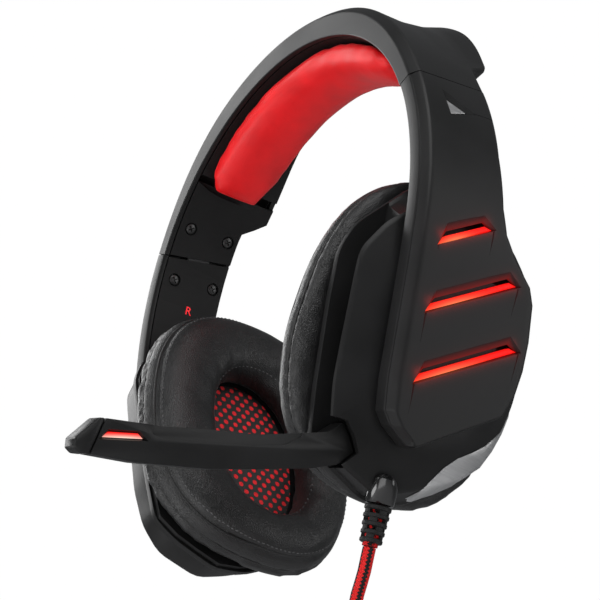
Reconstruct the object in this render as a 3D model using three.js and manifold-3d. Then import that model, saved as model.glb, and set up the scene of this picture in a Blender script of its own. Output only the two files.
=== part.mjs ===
// Gaming headset: a sprung headband, two sliding arms with lit side plates, two tilting ear cups,
// a swinging boom microphone and a braided cable. Millimetres, +Z up; the wearer looks along -Y and
// their left ear is on +X. The origin is the middle of the wearer's head, between the ear cups.
import * as THREE from 'three';
import { mergeVertices } from 'three/addons/utils/BufferGeometryUtils.js';
import Module from 'manifold-3d';

const wasm = await Module();
wasm.setup();

// Fits
const GAP = 0.35;              // clearance between fitted pieces
const SKIN = 2;                // thickness of an outer skin
const WALL = 1.8;              // thickness of a rim or side wall
const OVERRUN = 2;             // how far a cutter runs past the face that it opens

// Headband: an arc about an axis along Y
const BAND_RADIUS = 83.2;
const BAND_CENTRE_Z = 46.2;
const BAND_DEPTH = 7.6;        // outer face to the edge of the rims
const CROWN_RISE = 3.1;        // how much further out the outer face is at the crown
const FRONT = -27.3;           // front edge of the band and the arms
const BACK = 2;                // back edge at the seams
const REAR_SLANT = 3;          // how much further forward the back wall is at its inner edge
const SEAM_DEG = 22.5;         // where the band ends and the arms begin, above horizontal
const SEAM_SLANT_DEG = 3.5;    // how much higher the seam is at the back edge
const COVER_TOP_DEG = 42.3;    // upper edge of the slider covers
const COVER_THICKNESS = 1.6;
const SCREW_DEG = 31.5;        // slider cover screws
const SCREW_YS = [-20.5, -4.9];
const CHAMFER_DEPTH = 2.4;     // front edge chamfer, in from the outer face
const CHAMFER_WIDTH = 2.6;     // and back from the front face

// Arms: an arc that continues the band, then a flat side plate
const ARM_RADIUS = 98;
const ARM_DEPTH = 7.2;
const ARM_INNER_DEPTH = 5.6;   // outer face to the inner shell
const CUP_TILT_DEG = 16.6;     // how far the plates and cups lean in at the bottom
const SLIDE_DEG = 28.5;        // direction of the slide, tilted from vertical
const STRIP_ABOVE = 28;        // slider strip inside the band
const STRIP_BELOW = 32;        // slider strip inside the arm
const STRIP_RADIUS = 78.43;    // where the strip crosses the seam
const STRIP_THICKNESS = 0.8;
const STRIP_Y = -12.7;
const STRIP_WIDTH = 8.6;

// Ear cups, in a cup frame: x outward (o), y back, z up along the cup (v)
const CUP_X = 51.9;            // cup frame origin
const PLATE_O = 23.6;          // outer face of the side plate
const TILT_AXIS_O = 12.5;      // tilt pin
const HOUSING_BASE_O = 1.5;
const CHANNEL_O = [3.2, 10.8]; // parking channel of the microphone
const CHANNEL_Y = -26.2;
const BOOM_PIVOT = { y: -28.5, v: -35.5 };
const BOOM_O = [3.7, 10.3];
const CABLE_O = 9;             // where the cable leaves the left cup
const CABLE_Y = -10.5;

// Cable
const CORD_DIAMETER = 4;
const COIL_RADIUS = 23;        // middle of the turns
const COIL_SECTION = 8.3;      // radius of the bundle of turns
const COIL_CENTRE = [37, -10.5, -125];
const TAIL_OFFSET_Y = 27;      // the tail hangs beside the coil
const PLUG_TOP_Z = -155;

const rad = THREE.MathUtils.degToRad;
const clamp = THREE.MathUtils.clamp;
const smooth = THREE.MathUtils.smoothstep;

// ---- geometry helpers ----

function flipFaces(geometry) {
  const index = geometry.index.array;
  for (let i = 0; i < index.length; i += 3) [index[i], index[i + 1]] = [index[i + 1], index[i]];
  return geometry;
}

// Six times the volume: negative where the faces point inwards.
function volume(geometry) {
  const p = geometry.attributes.position, index = geometry.index.array;
  const [a, b, c] = [new THREE.Vector3(), new THREE.Vector3(), new THREE.Vector3()];
  let sum = 0;
  for (let i = 0; i < index.length; i += 3) {
    a.fromBufferAttribute(p, index[i]);
    b.fromBufferAttribute(p, index[i + 1]);
    c.fromBufferAttribute(p, index[i + 2]);
    sum += a.dot(b.cross(c));
  }
  return sum;
}

function outward(geometry) {
  return volume(geometry) < 0 ? flipFaces(geometry) : geometry;
}

// A closed body through rings of equally many points. flats gives each end ring as flat [a, b] points.
function loft(rings, firstFlat, lastFlat = firstFlat) {
  const n = rings[0].length, index = [];
  for (let i = 0; i + 1 < rings.length; i++) {
    for (let k = 0; k < n; k++) {
      const a = i * n + k, b = i * n + (k + 1) % n;
      index.push(a, b, a + n, b, b + n, a + n);
    }
  }
  for (const [start, flat, reverse] of [[0, firstFlat, true], [(rings.length - 1) * n, lastFlat, false]]) {
    const points = flat.map(([a, b]) => new THREE.Vector2(a, b));
    const sign = Math.sign(THREE.ShapeUtils.area(points));
    for (const face of THREE.ShapeUtils.triangulateShape(points, [])) {
      const faceSign = Math.sign(THREE.ShapeUtils.area(face.map(k => points[k])));
      if ((faceSign === sign) === reverse) face.reverse();
      index.push(...face.map(k => start + k));
    }
  }
  const geometry = new THREE.BufferGeometry();
  const position = rings.flat().flatMap(p => [p.x, p.y, p.z]);
  geometry.setAttribute('position', new THREE.Float32BufferAttribute(position, 3));
  geometry.setIndex(index);
  return outward(geometry);
}

// A closed ring: sections joined end to end around a loop.
function loopLoft(rings) {
  const n = rings[0].length, count = rings.length, index = [];
  for (let i = 0; i < count; i++) {
    for (let k = 0; k < n; k++) {
      const a = i * n + k, b = i * n + (k + 1) % n;
      const c = ((i + 1) % count) * n + k, d = ((i + 1) % count) * n + (k + 1) % n;
      index.push(a, b, c, b, d, c);
    }
  }
  const geometry = new THREE.BufferGeometry();
  const position = rings.flat().flatMap(p => [p.x, p.y, p.z]);
  geometry.setAttribute('position', new THREE.Float32BufferAttribute(position, 3));
  geometry.setIndex(index);
  return outward(geometry);
}

function toSolid(geometry) {
  const bare = geometry.clone();
  bare.deleteAttribute('normal');
  bare.deleteAttribute('uv');
  const merged = mergeVertices(bare, 1e-4);
  return new wasm.Manifold(new wasm.Mesh({
    numProp: 3,
    vertProperties: new Float32Array(merged.attributes.position.array),
    triVerts: new Uint32Array(merged.index.array),
  }));
}

function toGeometry(solid) {
  const mesh = solid.getMesh();
  const geometry = new THREE.BufferGeometry();
  geometry.setAttribute('position', new THREE.Float32BufferAttribute(mesh.vertProperties, 3));
  geometry.setIndex(new THREE.Uint32BufferAttribute(mesh.triVerts, 1));
  return geometry;
}

function carve(geometry, cutters, additions = []) {
  let solid = toSolid(geometry);
  for (const addition of additions) solid = solid.add(toSolid(addition));
  for (const cutter of cutters) solid = solid.subtract(toSolid(cutter));
  return toGeometry(solid);
}

function mirrored(geometry) {
  return flipFaces(geometry.clone().scale(-1, 1, 1));
}

// A box between two corners.
function box([x0, y0, z0], [x1, y1, z1]) {
  const geometry = new THREE.BoxGeometry(x1 - x0, y1 - y0, z1 - z0);
  return geometry.translate((x0 + x1) / 2, (y0 + y1) / 2, (z0 + z1) / 2);
}

// A lathe about +X: profile points are [radius, x].
function turnedX(profile, sides) {
  const points = profile.map(([r, x]) => new THREE.Vector2(r, x));
  return outward(new THREE.LatheGeometry(points, sides).rotateZ(-Math.PI / 2));
}

function rodX(radius, x0, x1, sides = 20) {
  return turnedX([[0, x0], [radius, x0], [radius, x1], [0, x1]], sides);
}

function rodY(radius, y0, y1, sides = 20) {
  return rodX(radius, y0, y1, sides).rotateZ(Math.PI / 2);
}

// A flat shape of [y, v] points, extruded outward from o0 to o1.
function slab(points, o0, o1) {
  const shape = new THREE.Shape(points.map(([y, v]) => new THREE.Vector2(y, v)));
  const geometry = new THREE.ExtrudeGeometry(shape, { depth: o1 - o0, bevelEnabled: false });
  geometry.translate(0, 0, o0);
  const axes = new THREE.Matrix4().makeBasis(
    new THREE.Vector3(0, 1, 0), new THREE.Vector3(0, 0, 1), new THREE.Vector3(1, 0, 0));
  return geometry.applyMatrix4(axes);
}

function oval(cy, cv, halfY, halfV, count) {
  return Array.from({ length: count }, (_, i) => {
    const a = i / count * 2 * Math.PI;
    return [cy + halfY * Math.cos(a), cv + halfV * Math.sin(a)];
  });
}

// Value at x on a polyline of [x, value] knots.
function along(knots, x) {
  let i = 1;
  while (i < knots.length - 1 && knots[i][0] < x) i++;
  const [[x0, a], [x1, b]] = [knots[i - 1], knots[i]];
  return a + (b - a) * clamp((x - x0) / (x1 - x0), 0, 1);
}

function range(from, to, count) {
  return Array.from({ length: count + 1 }, (_, i) => from + (to - from) * i / count);
}

// ---- places ----

// A point of the headband, at a radius, a depth along Y and an angle up from +X.
function onBand(radius, y, deg) {
  return new THREE.Vector3(radius * Math.cos(rad(deg)), y, BAND_CENTRE_Z + radius * Math.sin(rad(deg)));
}

const seam = onBand(BAND_RADIUS, 0, SEAM_DEG);
const armCentre = seam.clone().sub(onBand(ARM_RADIUS, 0, SEAM_DEG).setZ(ARM_RADIUS * Math.sin(rad(SEAM_DEG))));
const ARM_ARC = ARM_RADIUS * rad(SEAM_DEG + CUP_TILT_DEG);   // length of the arm's curved part

// Direction out of the arm's face at a distance t down from the seam, as an angle up from +X.
function armDeg(t) {
  return SEAM_DEG - THREE.MathUtils.radToDeg(Math.min(t, ARM_ARC) / ARM_RADIUS);
}

// A point of the left arm: depth in from its outer face, y, and distance t down from the seam.
function onArm(depth, y, t) {
  const deg = armDeg(t), beyond = Math.max(0, t - ARM_ARC);
  const x = armCentre.x + (ARM_RADIUS - depth) * Math.cos(rad(deg)) + beyond * Math.sin(rad(deg));
  const z = armCentre.z + (ARM_RADIUS - depth) * Math.sin(rad(deg)) - beyond * Math.cos(rad(deg));
  return new THREE.Vector3(x, y, z);
}

// Frame on the arm's outer face: x out of the face, y back, z up along the arm.
function armFrame(y, t) {
  const origin = onArm(0, y, t);
  return new THREE.Matrix4().makeRotationY(-rad(armDeg(t))).setPosition(origin);
}

// Frame on the headband: x outward along the radius.
function bandFrame(y, deg) {
  return new THREE.Matrix4().makeRotationY(-rad(deg)).setPosition(onBand(0, y, deg));
}

const cupFrame = new THREE.Matrix4().makeRotationY(rad(CUP_TILT_DEG)).setPosition(CUP_X, 0, 0);

// A point of the left cup frame, in the part's own frame.
function onCup(o, y, v) {
  return new THREE.Vector3(o, y, v).applyMatrix4(cupFrame);
}

// ---- headband ----

// The rear shoulders: how far the back edge reaches back, and how far it rises.
function sideDeg(deg) {
  return Math.min(deg, 180 - deg);
}

function bandBack(deg) {
  const a = sideDeg(deg);
  return BACK + 8 * smooth(a, 34.5, 40) - 4.5 * smooth(a, 43, 74);
}

function hornRise(deg) {
  const a = sideDeg(deg);
  return 5.6 * smooth(a, 35, 55) * (1 - smooth(a, 57, 84));
}

function bandOuter(deg) {
  return BAND_RADIUS + CROWN_RISE * smooth(sideDeg(deg), SEAM_DEG, 65);
}

// Back edge of the band at a radius: the back wall slants forward on its way in.
function rearEdge(deg, r) {
  const outer = bandOuter(deg);
  return bandBack(deg) - REAR_SLANT * (outer - r) / (outer - BAND_RADIUS + BAND_DEPTH);
}

// The slanted seam fades out over the first degrees of the band.
function slanted(deg, y) {
  const a = sideDeg(deg);
  const fade = 1 - smooth(a, SEAM_DEG, SEAM_DEG + 12);
  const lift = SEAM_SLANT_DEG * fade * (y - FRONT) / (BACK - FRONT);
  return deg < 90 ? deg + lift : deg - lift;
}

function sweepBand(section, degs) {
  const rings = degs.map(deg => section(deg).map(([r, y]) => onBand(r, y, slanted(deg, y))));
  return loft(rings, section(degs[0]), section(degs[degs.length - 1]));
}

function bandSection(deg) {
  const back = bandBack(deg), rise = hornRise(deg), outer = bandOuter(deg), inner = BAND_RADIUS - BAND_DEPTH;
  const across = u => FRONT + (back - FRONT) * u, wallEnd = inner + COVER_THICKNESS + GAP;
  return [
    [outer + rise, back - 1], [outer + rise * 0.4, across(0.7)], [outer, across(0.35)],
    [outer, FRONT + CHAMFER_WIDTH], [outer - CHAMFER_DEPTH, FRONT], [inner, FRONT],
    [inner, FRONT + WALL], [outer - SKIN, FRONT + WALL], [outer - SKIN, rearEdge(deg, outer - SKIN) - WALL],
    [wallEnd, rearEdge(deg, wallEnd) - WALL], [wallEnd, rearEdge(deg, wallEnd)], [outer + rise - 1, back],
  ];
}

// A strip behind the front rim, from radius r0 to r1, with points across it so that its ends can curve.
function nestedSection(deg, r0, r1, steps = 6) {
  const ys = r => range(FRONT + WALL + GAP, rearEdge(deg, r), steps).map(y => [r, y]);
  return [...ys(r0), ...ys(r1).reverse()];
}

function bandScrewBoss(y, deg, radius) {
  return rodX(radius, BAND_RADIUS - BAND_DEPTH + COVER_THICKNESS + 2 * GAP, BAND_RADIUS - SKIN + 0.5, 12)
    .applyMatrix4(bandFrame(y, deg));
}

const screwDegs = [SCREW_DEG, 180 - SCREW_DEG];

function bandOuterShell() {
  const shell = sweepBand(bandSection, range(SEAM_DEG, 180 - SEAM_DEG, 36));
  const places = screwDegs.flatMap(deg => SCREW_YS.map(y => [y, deg]));
  const bosses = places.map(([y, deg]) => bandScrewBoss(y, deg, 2.2));
  const bores = places.map(([y, deg]) =>
    rodX(1.2, BAND_RADIUS - BAND_DEPTH, BAND_RADIUS - SKIN - 0.6, 12).applyMatrix4(bandFrame(y, deg)));
  return carve(shell, bores, bosses);
}

function padBase() {
  const r0 = BAND_RADIUS - BAND_DEPTH;
  return sweepBand(deg => nestedSection(deg, r0, r0 + COVER_THICKNESS, 2), range(46.5, 133.5, 24));
}

function bandSpring() {
  const r = BAND_RADIUS - SKIN - 1.6;
  const section = () => [[r, -20], [r, -6], [r + 1, -6], [r + 1, -20]];
  return sweepBand(section, range(52, 128, 20));
}

// Slider cover of the left end: its upper edge curves up beside the pad.
function sliderCover() {
  const r0 = BAND_RADIUS - BAND_DEPTH;
  const degs = range(SEAM_DEG + 0.25, COVER_TOP_DEG, 8);
  const rings = degs.map((deg, i) => nestedSection(deg, r0, r0 + COVER_THICKNESS).map(([r, y]) => {
    const across = 2 * (y - FRONT) / (bandBack(deg) - FRONT) - 1;
    return onBand(r, y, slanted(deg, y) + (i === 8 ? 3 * Math.abs(across) ** 3 : 0));
  }));
  const cover = loft(rings, nestedSection(degs[0], r0, r0 + COVER_THICKNESS),
    nestedSection(COVER_TOP_DEG, r0, r0 + COVER_THICKNESS));
  const holes = SCREW_YS.flatMap(y => [rodX(1.2, r0 - 1, r0 + 4, 12), rodX(2.4, r0 - 1, r0 + 0.95, 12)]
    .map(hole => hole.applyMatrix4(bandFrame(y, SCREW_DEG))));
  return carve(cover, holes);
}

// A small countersunk screw: the head faces in (-x), the shank runs out (+x).
function screw(headRadius, shankLength) {
  return turnedX([[0, 0], [headRadius, 0], [headRadius, 0.8], [0.85, 0.8], [0.85, shankLength], [0, shankLength]], 12);
}

function coverScrew(y) {
  return screw(2, 4.2).translate(BAND_RADIUS - BAND_DEPTH + 0.05, 0, 0).applyMatrix4(bandFrame(y, SCREW_DEG));
}

// Head pad: a flat back against the base and a crowned face towards the head.
function headPad() {
  const r = BAND_RADIUS - BAND_DEPTH - GAP, thickness = 10.5;
  const section = deg => {
    const end = Math.sqrt(1 - ((deg - 90) / 48) ** 6);
    const halfWidth = 12.6 * (0.55 + 0.45 * end), middle = -11.6, t = thickness * (0.35 + 0.65 * end);
    const arc = range(0, Math.PI, 10).map(a => [
      r - 1.2 - (t - 1.2) * Math.sin(a) ** 0.6, middle + halfWidth * Math.cos(a)]);
    return [[r, middle + halfWidth * 0.94], ...arc, [r, middle - halfWidth * 0.94]];
  };
  return sweepBand(section, range(43.6, 136.4, 24));
}

// ---- arms (left; the right is its mirror image) ----

// Front and back edges of the arm and its plate, as [t, y] knots.
const ARM_FRONT = [[0, FRONT], [60, FRONT], [103, -24.8], [112, -23.5], [115.5, -20.5], [119.8, -13.5]];
const ARM_BACK = [[0, BACK], [24, 2], [42, 3.4], [50, 5.4], [57, 10], [63, 16.4], [68, 18.6], [79, 19.9],
  [88, 19.9], [96.5, 18.7], [103, 16.2], [119.8, -11]];
const ARM_END = 119.8;

function edgeInset(knots, t, inset) {
  const slope = along(knots, t + 0.5) - along(knots, t - 0.5);
  return inset * Math.hypot(1, slope);
}

// A body between two depths whose outline is the arm's, shrunk by an inset at the front and at the back.
function armBody([outer, inner], tStart, tEnd, inset, { backInset = () => inset, chamfered = false } = {}) {
  const knotTs = [...ARM_FRONT, ...ARM_BACK].map(([t]) => t);
  const ts = [...new Set([...range(tStart, ARM_ARC, 12), ...knotTs, tEnd])]
    .filter(t => t >= tStart && t <= tEnd).sort((a, b) => a - b);
  const section = t => {
    const y0 = along(ARM_FRONT, t) + edgeInset(ARM_FRONT, t, inset);
    const y1 = along(ARM_BACK, t) - edgeInset(ARM_BACK, t, backInset(t));
    const slant = REAR_SLANT / ARM_DEPTH * (1 - smooth(t, 44, 58)), rear = depth => y1 - slant * depth;
    const bevelWidth = Math.min(CHAMFER_WIDTH, (y1 - y0) * 0.4);
    return chamfered
      ? [[outer, y0 + bevelWidth], [outer, y1 - 1], [outer + 1, rear(1)], [inner, rear(inner)], [inner, y0],
        [outer + CHAMFER_DEPTH, y0]]
      : [[outer, y0], [outer, rear(outer)], [inner, rear(inner)], [inner, y0]];
  };
  // The top edge follows the slanted seam.
  const slant = BAND_RADIUS * rad(SEAM_SLANT_DEG);
  const rings = ts.map(t => section(t).map(([depth, y]) => {
    const fade = 1 - smooth(t, tStart, tStart + 18);
    return onArm(depth, y, t - slant * fade * (y - FRONT) / (BACK - FRONT));
  }));
  return loft(rings, section(ts[0]), section(ts[ts.length - 1]));
}

const ARM_SCREWS = [[-20.6, 8], [-4.9, 6.5]];       // [y, t]
const LIGHT_SLOTS = [                               // middle [y, t] and length
  { y: -10.2, t: 54.2, length: 22 }, { y: -4, t: 71.5, length: 35 }, { y: -1, t: 91.3, length: 39 }];
const SLOT_HEIGHT = 3.2;
const SLOT_DEG = 30;

// The slanted bar of a light slot, with a cut-off corner at each end, from depth0 to depth1.
function lightBar({ y, t, length }, height, trim, depth0, depth1) {
  const half = length / 2 - trim;
  const points = [[-half, -height / 2], [half, -height / 2], [half - height * 0.8, height / 2],
    [-half + height * 1.5, height / 2]];
  return slab(points, -depth1, -depth0).rotateX(rad(SLOT_DEG)).applyMatrix4(armFrame(y, t));
}

// Triangular badge window near the top of the arm, as [y, t] corners.
const BADGE = [[-16.6, 7.6], [-8.6, 10.4], [-15.6, 13.8]];

function badge(grow, depth0, depth1) {
  const [cy, ct] = [0, 1].map(k => BADGE.reduce((sum, corner) => sum + corner[k], 0) / BADGE.length);
  const points = BADGE.map(([y, t]) => {
    const [dy, dv] = [y - cy, ct - t], size = Math.hypot(dy, dv);
    return [dy * (1 + grow / size), dv * (1 + grow / size)];
  });
  return slab(points, -depth1, -depth0).applyMatrix4(armFrame(cy, ct));
}

function armScrewBoss([y, t], radius) {
  return rodX(radius, -ARM_INNER_DEPTH + GAP, -SKIN + 0.5, 12).applyMatrix4(armFrame(y, t));
}

// Inset of the inner shell's back edge: it runs over the arm's back wall, and lies inside the plate's.
function innerShellInset(t) {
  return (WALL + GAP) * smooth(t, 44, 58);
}

function armOuterShell() {
  const blank = armBody([0, ARM_DEPTH], 0.4, ARM_END, 0, { chamfered: true });
  const hollow = armBody([SKIN, ARM_DEPTH + OVERRUN], 0.4, 116, WALL);
  const mouth = armBody([SKIN, ARM_DEPTH + OVERRUN], -3, 4, WALL);
  const shelf = armBody([ARM_INNER_DEPTH - GAP, ARM_DEPTH + OVERRUN], -3, 60, WALL,
    { backInset: t => innerShellInset(t) - GAP });
  const shell = carve(blank, [hollow, mouth, shelf]);
  const slots = LIGHT_SLOTS.map(slot => lightBar(slot, SLOT_HEIGHT, 0, -1, SKIN + 1));
  const bores = ARM_SCREWS.map(([y, t]) =>
    rodX(1.2, -ARM_INNER_DEPTH - 1, -SKIN - 0.6, 12).applyMatrix4(armFrame(y, t)));
  return carve(shell, [...slots, badge(0, -1, SKIN + 1), ...bores], ARM_SCREWS.map(at => armScrewBoss(at, 2.1)));
}

function armInnerShell() {
  const plate = armBody([ARM_INNER_DEPTH, ARM_DEPTH], 0.6, 115, WALL + GAP, { backInset: innerShellInset });
  const lug = box([TILT_AXIS_O - 2, -5, -3.5], [PLATE_O - ARM_INNER_DEPTH - 0.5, 5, 3.5]).applyMatrix4(cupFrame);
  const pinHole = rodY(1.6, -8, 8).translate(TILT_AXIS_O, 0, 0).applyMatrix4(cupFrame);
  const holes = ARM_SCREWS.flatMap(([y, t]) => [rodX(1.2, -9, -4, 12), rodX(2.4, -9, -ARM_DEPTH + 0.95, 12)]
    .map(hole => hole.applyMatrix4(armFrame(y, t))));
  return carve(plate, [pinHole, ...holes], [lug]);
}

function armScrew([y, t]) {
  return screw(2, 4.2).translate(-ARM_DEPTH + 0.05, 0, 0).applyMatrix4(armFrame(y, t));
}

// Bent steel strip: straight inside the band, then it follows the arm.
function sliderStrip() {
  const start = onBand(STRIP_RADIUS, 0, SEAM_DEG);
  const up = new THREE.Vector3(-Math.sin(rad(SLIDE_DEG)), 0, Math.cos(rad(SLIDE_DEG)));
  const path = [start.clone().addScaledVector(up, STRIP_ABOVE), start, start.clone().addScaledVector(up, -6),
    start.clone().addScaledVector(up, -10), ...[14, 20, 26, STRIP_BELOW].map(t => onArm(3.1, 0, t))];
  const half = STRIP_THICKNESS / 2, edges = [STRIP_Y - STRIP_WIDTH / 2, STRIP_Y + STRIP_WIDTH / 2];
  const rings = path.map((p, i) => {
    const before = path[Math.max(i - 1, 0)], after = path[Math.min(i + 1, path.length - 1)];
    const run = after.clone().sub(before).normalize();
    const side = new THREE.Vector3(-run.z, 0, run.x).multiplyScalar(half);
    return [[1, 0], [1, 1], [-1, 1], [-1, 0]].map(([s, e]) => p.clone().addScaledVector(side, s).setY(edges[e]));
  });
  return loft(rings, [[0, 0], [0, 1], [1, 1], [1, 0]]);
}

function lightBoard() {
  return box([PLATE_O - 5, -18, -14], [PLATE_O - 4, 11, 22]).applyMatrix4(cupFrame);
}

// ---- ear cups (left; cup frame) ----

// Outlines as [y, v] corners: the rim, the shoulder of the body, and the raised middle of the face.
const RIM = [[-19, 46.5], [-35.5, 29], [-39, 20], [-38.5, 4], [-36.5, -20], [-34.3, -36.4], [-27, -42.5], [-13, -49],
  [-1, -47.5], [8, -43], [19, -35.5], [27, -26], [31, -15], [33.5, 0], [33, 16], [28, 32], [18, 42], [5, 47], [-8, 48]];
const SHOULDER = [[-17, 42], [-30, 31], [-37, 20], [-37, 13], [-36.5, -6], [-36, -20], [-33.5, -33], [-28, -42],
  [-14, -47.5], [-3, -44], [5, -40.5], [14, -35.5], [21, -29], [25, -20], [27.5, -8], [28, 4], [27, 17],
  [23, 30], [15, 38], [4, 42], [-8, 43]];
const FACE = [[-14, 33], [-26, 22], [-30, 8], [-28, -18], [-22, -31], [-11, -37], [0, -35], [12, -28],
  [19, -14], [21, 4], [18, 20], [8, 31]];
const CUP_MIDDLE = [-4, -1];
const CUP_SPOKES = 36;

// The outline resampled along equally spaced spokes from the middle of the cup.
function spokes(outline, inset) {
  const [cy, cv] = CUP_MIDDLE;
  return range(0, 2 * Math.PI, CUP_SPOKES).slice(0, -1).map(a => {
    const [dy, dv] = [Math.cos(a), Math.sin(a)];
    let reach = 0;
    outline.forEach(([y0, v0], i) => {
      const [y1, v1] = outline[(i + 1) % outline.length];
      const [ey, ev] = [y1 - y0, v1 - v0], cross = dy * ev - dv * ey;
      const s = ((y0 - cy) * ev - (v0 - cv) * ey) / cross;
      const u = ((y0 - cy) * dv - (v0 - cv) * dy) / cross;
      if (s > 0 && u > -1e-6 && u < 1 + 1e-6) reach = Math.max(reach, s);
    });
    return [cy + (reach - inset) * dy, cv + (reach - inset) * dv];
  });
}

// A body through [o, outline, inset] levels. Each end face has a second ring, 1 mm in, round its middle.
function cupBody(levels) {
  const endRing = ([o, outline, inset = 0]) => [o, outline, inset + 1];
  const all = [endRing(levels[0]), ...levels, endRing(levels[levels.length - 1])];
  const flats = all.map(([, outline, inset = 0]) => spokes(outline, inset));
  const rings = flats.map((flat, i) => flat.map(([y, v]) => new THREE.Vector3(all[i][0], y, v)));
  return loft(rings, flats[0], flats[flats.length - 1]);
}

function cupOuter(grow = 0) {
  return cupBody([[HOUSING_BASE_O, RIM, -grow], [3.2, RIM, -grow], [4, RIM, 1 - grow], [10.6, SHOULDER, -grow],
    [11.8, SHOULDER, 1.4 - grow], [13.4 + grow, FACE, -grow], [15 + grow, FACE, 14 - grow]]);
}

// Silver crescent on the lower rear flank, as [y, v] corners of the cut that shapes it.
const ACCENT = [[-5, -60], [-3, -49], [0, -43.5], [3, -38.2], [6, -33.6], [10, -29.6], [15, -26.4], [19.5, -23],
  [24, -17.6], [26.5, -11], [60, -11], [60, -60]];

function accentCut(inset) {
  return slab(ACCENT.map(([y, v]) => [y + inset, v - inset]), 3.4 + inset, 14.6 - inset);
}

function accentShell(outerGrow, innerGrow, inset) {
  const skin = toSolid(cupOuter(outerGrow)).subtract(toSolid(cupOuter(innerGrow)));
  return skin.intersect(toSolid(accentCut(inset)));
}

function cupAccent() {
  return toGeometry(accentShell(0, -0.9, GAP));
}

// The housing that both cups share; frontWall is the y where the hollow ends.
function cupHousing(frontWall, extraCutters) {
  const hollow = toSolid(cupBody([[0, RIM, 2.6], [3.4, RIM, 2.9], [9.6, SHOULDER, 3], [11.2, FACE, 1.5]]))
    .subtract(toSolid(box([-5, -60, -80], [30, frontWall, 80])));
  const hingeBlock = box([6.2, -11, -9], [13, 11, 9]);
  const pocket = box([8.2, -6, -7], [30, 6, 7]);
  const pinBore = rodY(1.6, -9.3, 9.3, 16).translate(TILT_AXIS_O, 0, 0);
  const solid = toSolid(cupOuter()).subtract(hollow).add(toSolid(hingeBlock))
    .subtract(accentShell(2, -0.9 - GAP, 0));
  return toGeometry([pocket, pinBore, ...extraCutters]
    .reduce((body, cutter) => body.subtract(toSolid(cutter)), solid));
}

// Opening in the left housing's face that shows the root of the microphone boom.
const ROOT_WINDOW = [[-23.1, -37.4], [-25.7, -33.2], [-29, -29.5], [-60, -29.5], [-60, -60], [-36, -46.2],
  [-27.8, -42.8]];

// The left housing also has the microphone's parking channel and pivot, and the cable outlet.
function leftHousing() {
  const channel = box([CHANNEL_O[0], -70, BOOM_PIVOT.v], [CHANNEL_O[1], CHANNEL_Y, 70]);
  const rootPocket = rodX(7.6, ...CHANNEL_O, 24).translate(0, BOOM_PIVOT.y, BOOM_PIVOT.v);
  const rootWindow = slab(ROOT_WINDOW, CHANNEL_O[1] - 0.5, 30);
  const pivotHole = rodX(1.8, 0, 5, 16).translate(0, BOOM_PIVOT.y, BOOM_PIVOT.v);
  const cableHole = rodX(4.8, 38, 60).rotateY(Math.PI / 2).translate(CABLE_O, CABLE_Y, 0);
  return cupHousing(CHANNEL_Y + WALL, [channel, rootPocket, rootWindow, pivotHole, cableHole]);
}

const DRIVER_RADIUS = 20;
const DRIVER_Y = -1;

function baffle() {
  const plate = cupBody([[-0.2, RIM, 0.8], [1.15, RIM, 0.8]]);
  const mouth = rodX(DRIVER_RADIUS - 3, -2, 3, 32).translate(0, DRIVER_Y, 0);
  return carve(plate, [mouth]);
}

function driver() {
  return turnedX([[0, 1.5], [DRIVER_RADIUS, 1.5], [DRIVER_RADIUS, 2.8], [DRIVER_RADIUS - 3.5, 3.2],
    [DRIVER_RADIUS - 4, 4.2], [11, 4.6], [10.5, 5.7], [0, 5.7]], 24).translate(0, DRIVER_Y, 0);
}

// Ear cushion: a soft oval ring with an oval opening.
const CUSHION = { y: -3, v: 2, halfY: 39.5, halfV: 50, power: 2.4, leanDeg: -7 };
const EAR_HOLE = { y: 1, v: -1.5, halfY: 18, halfV: 29, power: 2.2, leanDeg: 0 };
const CUSHION_SECTION = [[0.1, -0.6], [0.02, -4], [0, -8], [0.08, -12], [0.28, -14.6], [0.62, -14.6],
  [0.84, -12], [0.97, -8.5], [1, -5.5], [0.97, -2.6], [0.88, -0.6]];   // [across, o]

function superOval({ y, v, halfY, halfV, power, leanDeg }, angle) {
  const [c, s] = [Math.cos(angle), Math.sin(angle)];
  const reach = (Math.abs(c) ** power + Math.abs(s) ** power) ** (-1 / power);
  const [dy, dv] = [halfY * reach * c, halfV * reach * s], lean = rad(leanDeg);
  return [y + dy * Math.cos(lean) - dv * Math.sin(lean), v + dy * Math.sin(lean) + dv * Math.cos(lean)];
}

function earCushion() {
  const rings = range(0, 2 * Math.PI, 32).slice(0, -1).map(angle => {
    const [hy, hv] = superOval(EAR_HOLE, angle), [ry, rv] = superOval(CUSHION, angle);
    return CUSHION_SECTION.map(([f, o]) => new THREE.Vector3(o, hy + (ry - hy) * f, hv + (rv - hv) * f));
  });
  return loopLoft(rings);
}

function driverMesh() {
  return slab(oval(EAR_HOLE.y, EAR_HOLE.v, EAR_HOLE.halfY + 1, EAR_HOLE.halfV + 0.8, 36), -1.5, -0.55);
}

function tiltPin() {
  return rodY(1.25, -9, 9, 16).translate(TILT_AXIS_O, 0, 0);
}

function mainBoard() {
  return box([4, -14, -36], [5.2, 10, -21]);
}

// ---- microphone (left cup frame) ----

const BOOM_TIP_Y = -100.8;
const BOOM_OUTLINE = [[-23.6, -37.3], [-26, -33.6], [-29, -30.2], [-33, -34], [-40, -36.3], [-55, -41],
  [-71, -44], [-84, -47], [BOOM_TIP_Y, -49.6], [BOOM_TIP_Y - 2, -60], [-89, -58.5], [-68, -54.5], [-53, -50.5],
  [-36, -45.5], [-28, -42.2]];
const TIP_OUTLINE = [[BOOM_TIP_Y - GAP, -49.6], [-103, -50], [-108.2, -57], [-107.8, -59.6],
  [-106, -60.6], [BOOM_TIP_Y - 2 - GAP, -60.1]];
const BOOM_LIGHT = [[-100.2, -54.6], [-99, -52.8], [-90.6, -50.9], [-88.8, -51.9]];
const CAPSULE = { y: -97, v: -54.5 };

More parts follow.
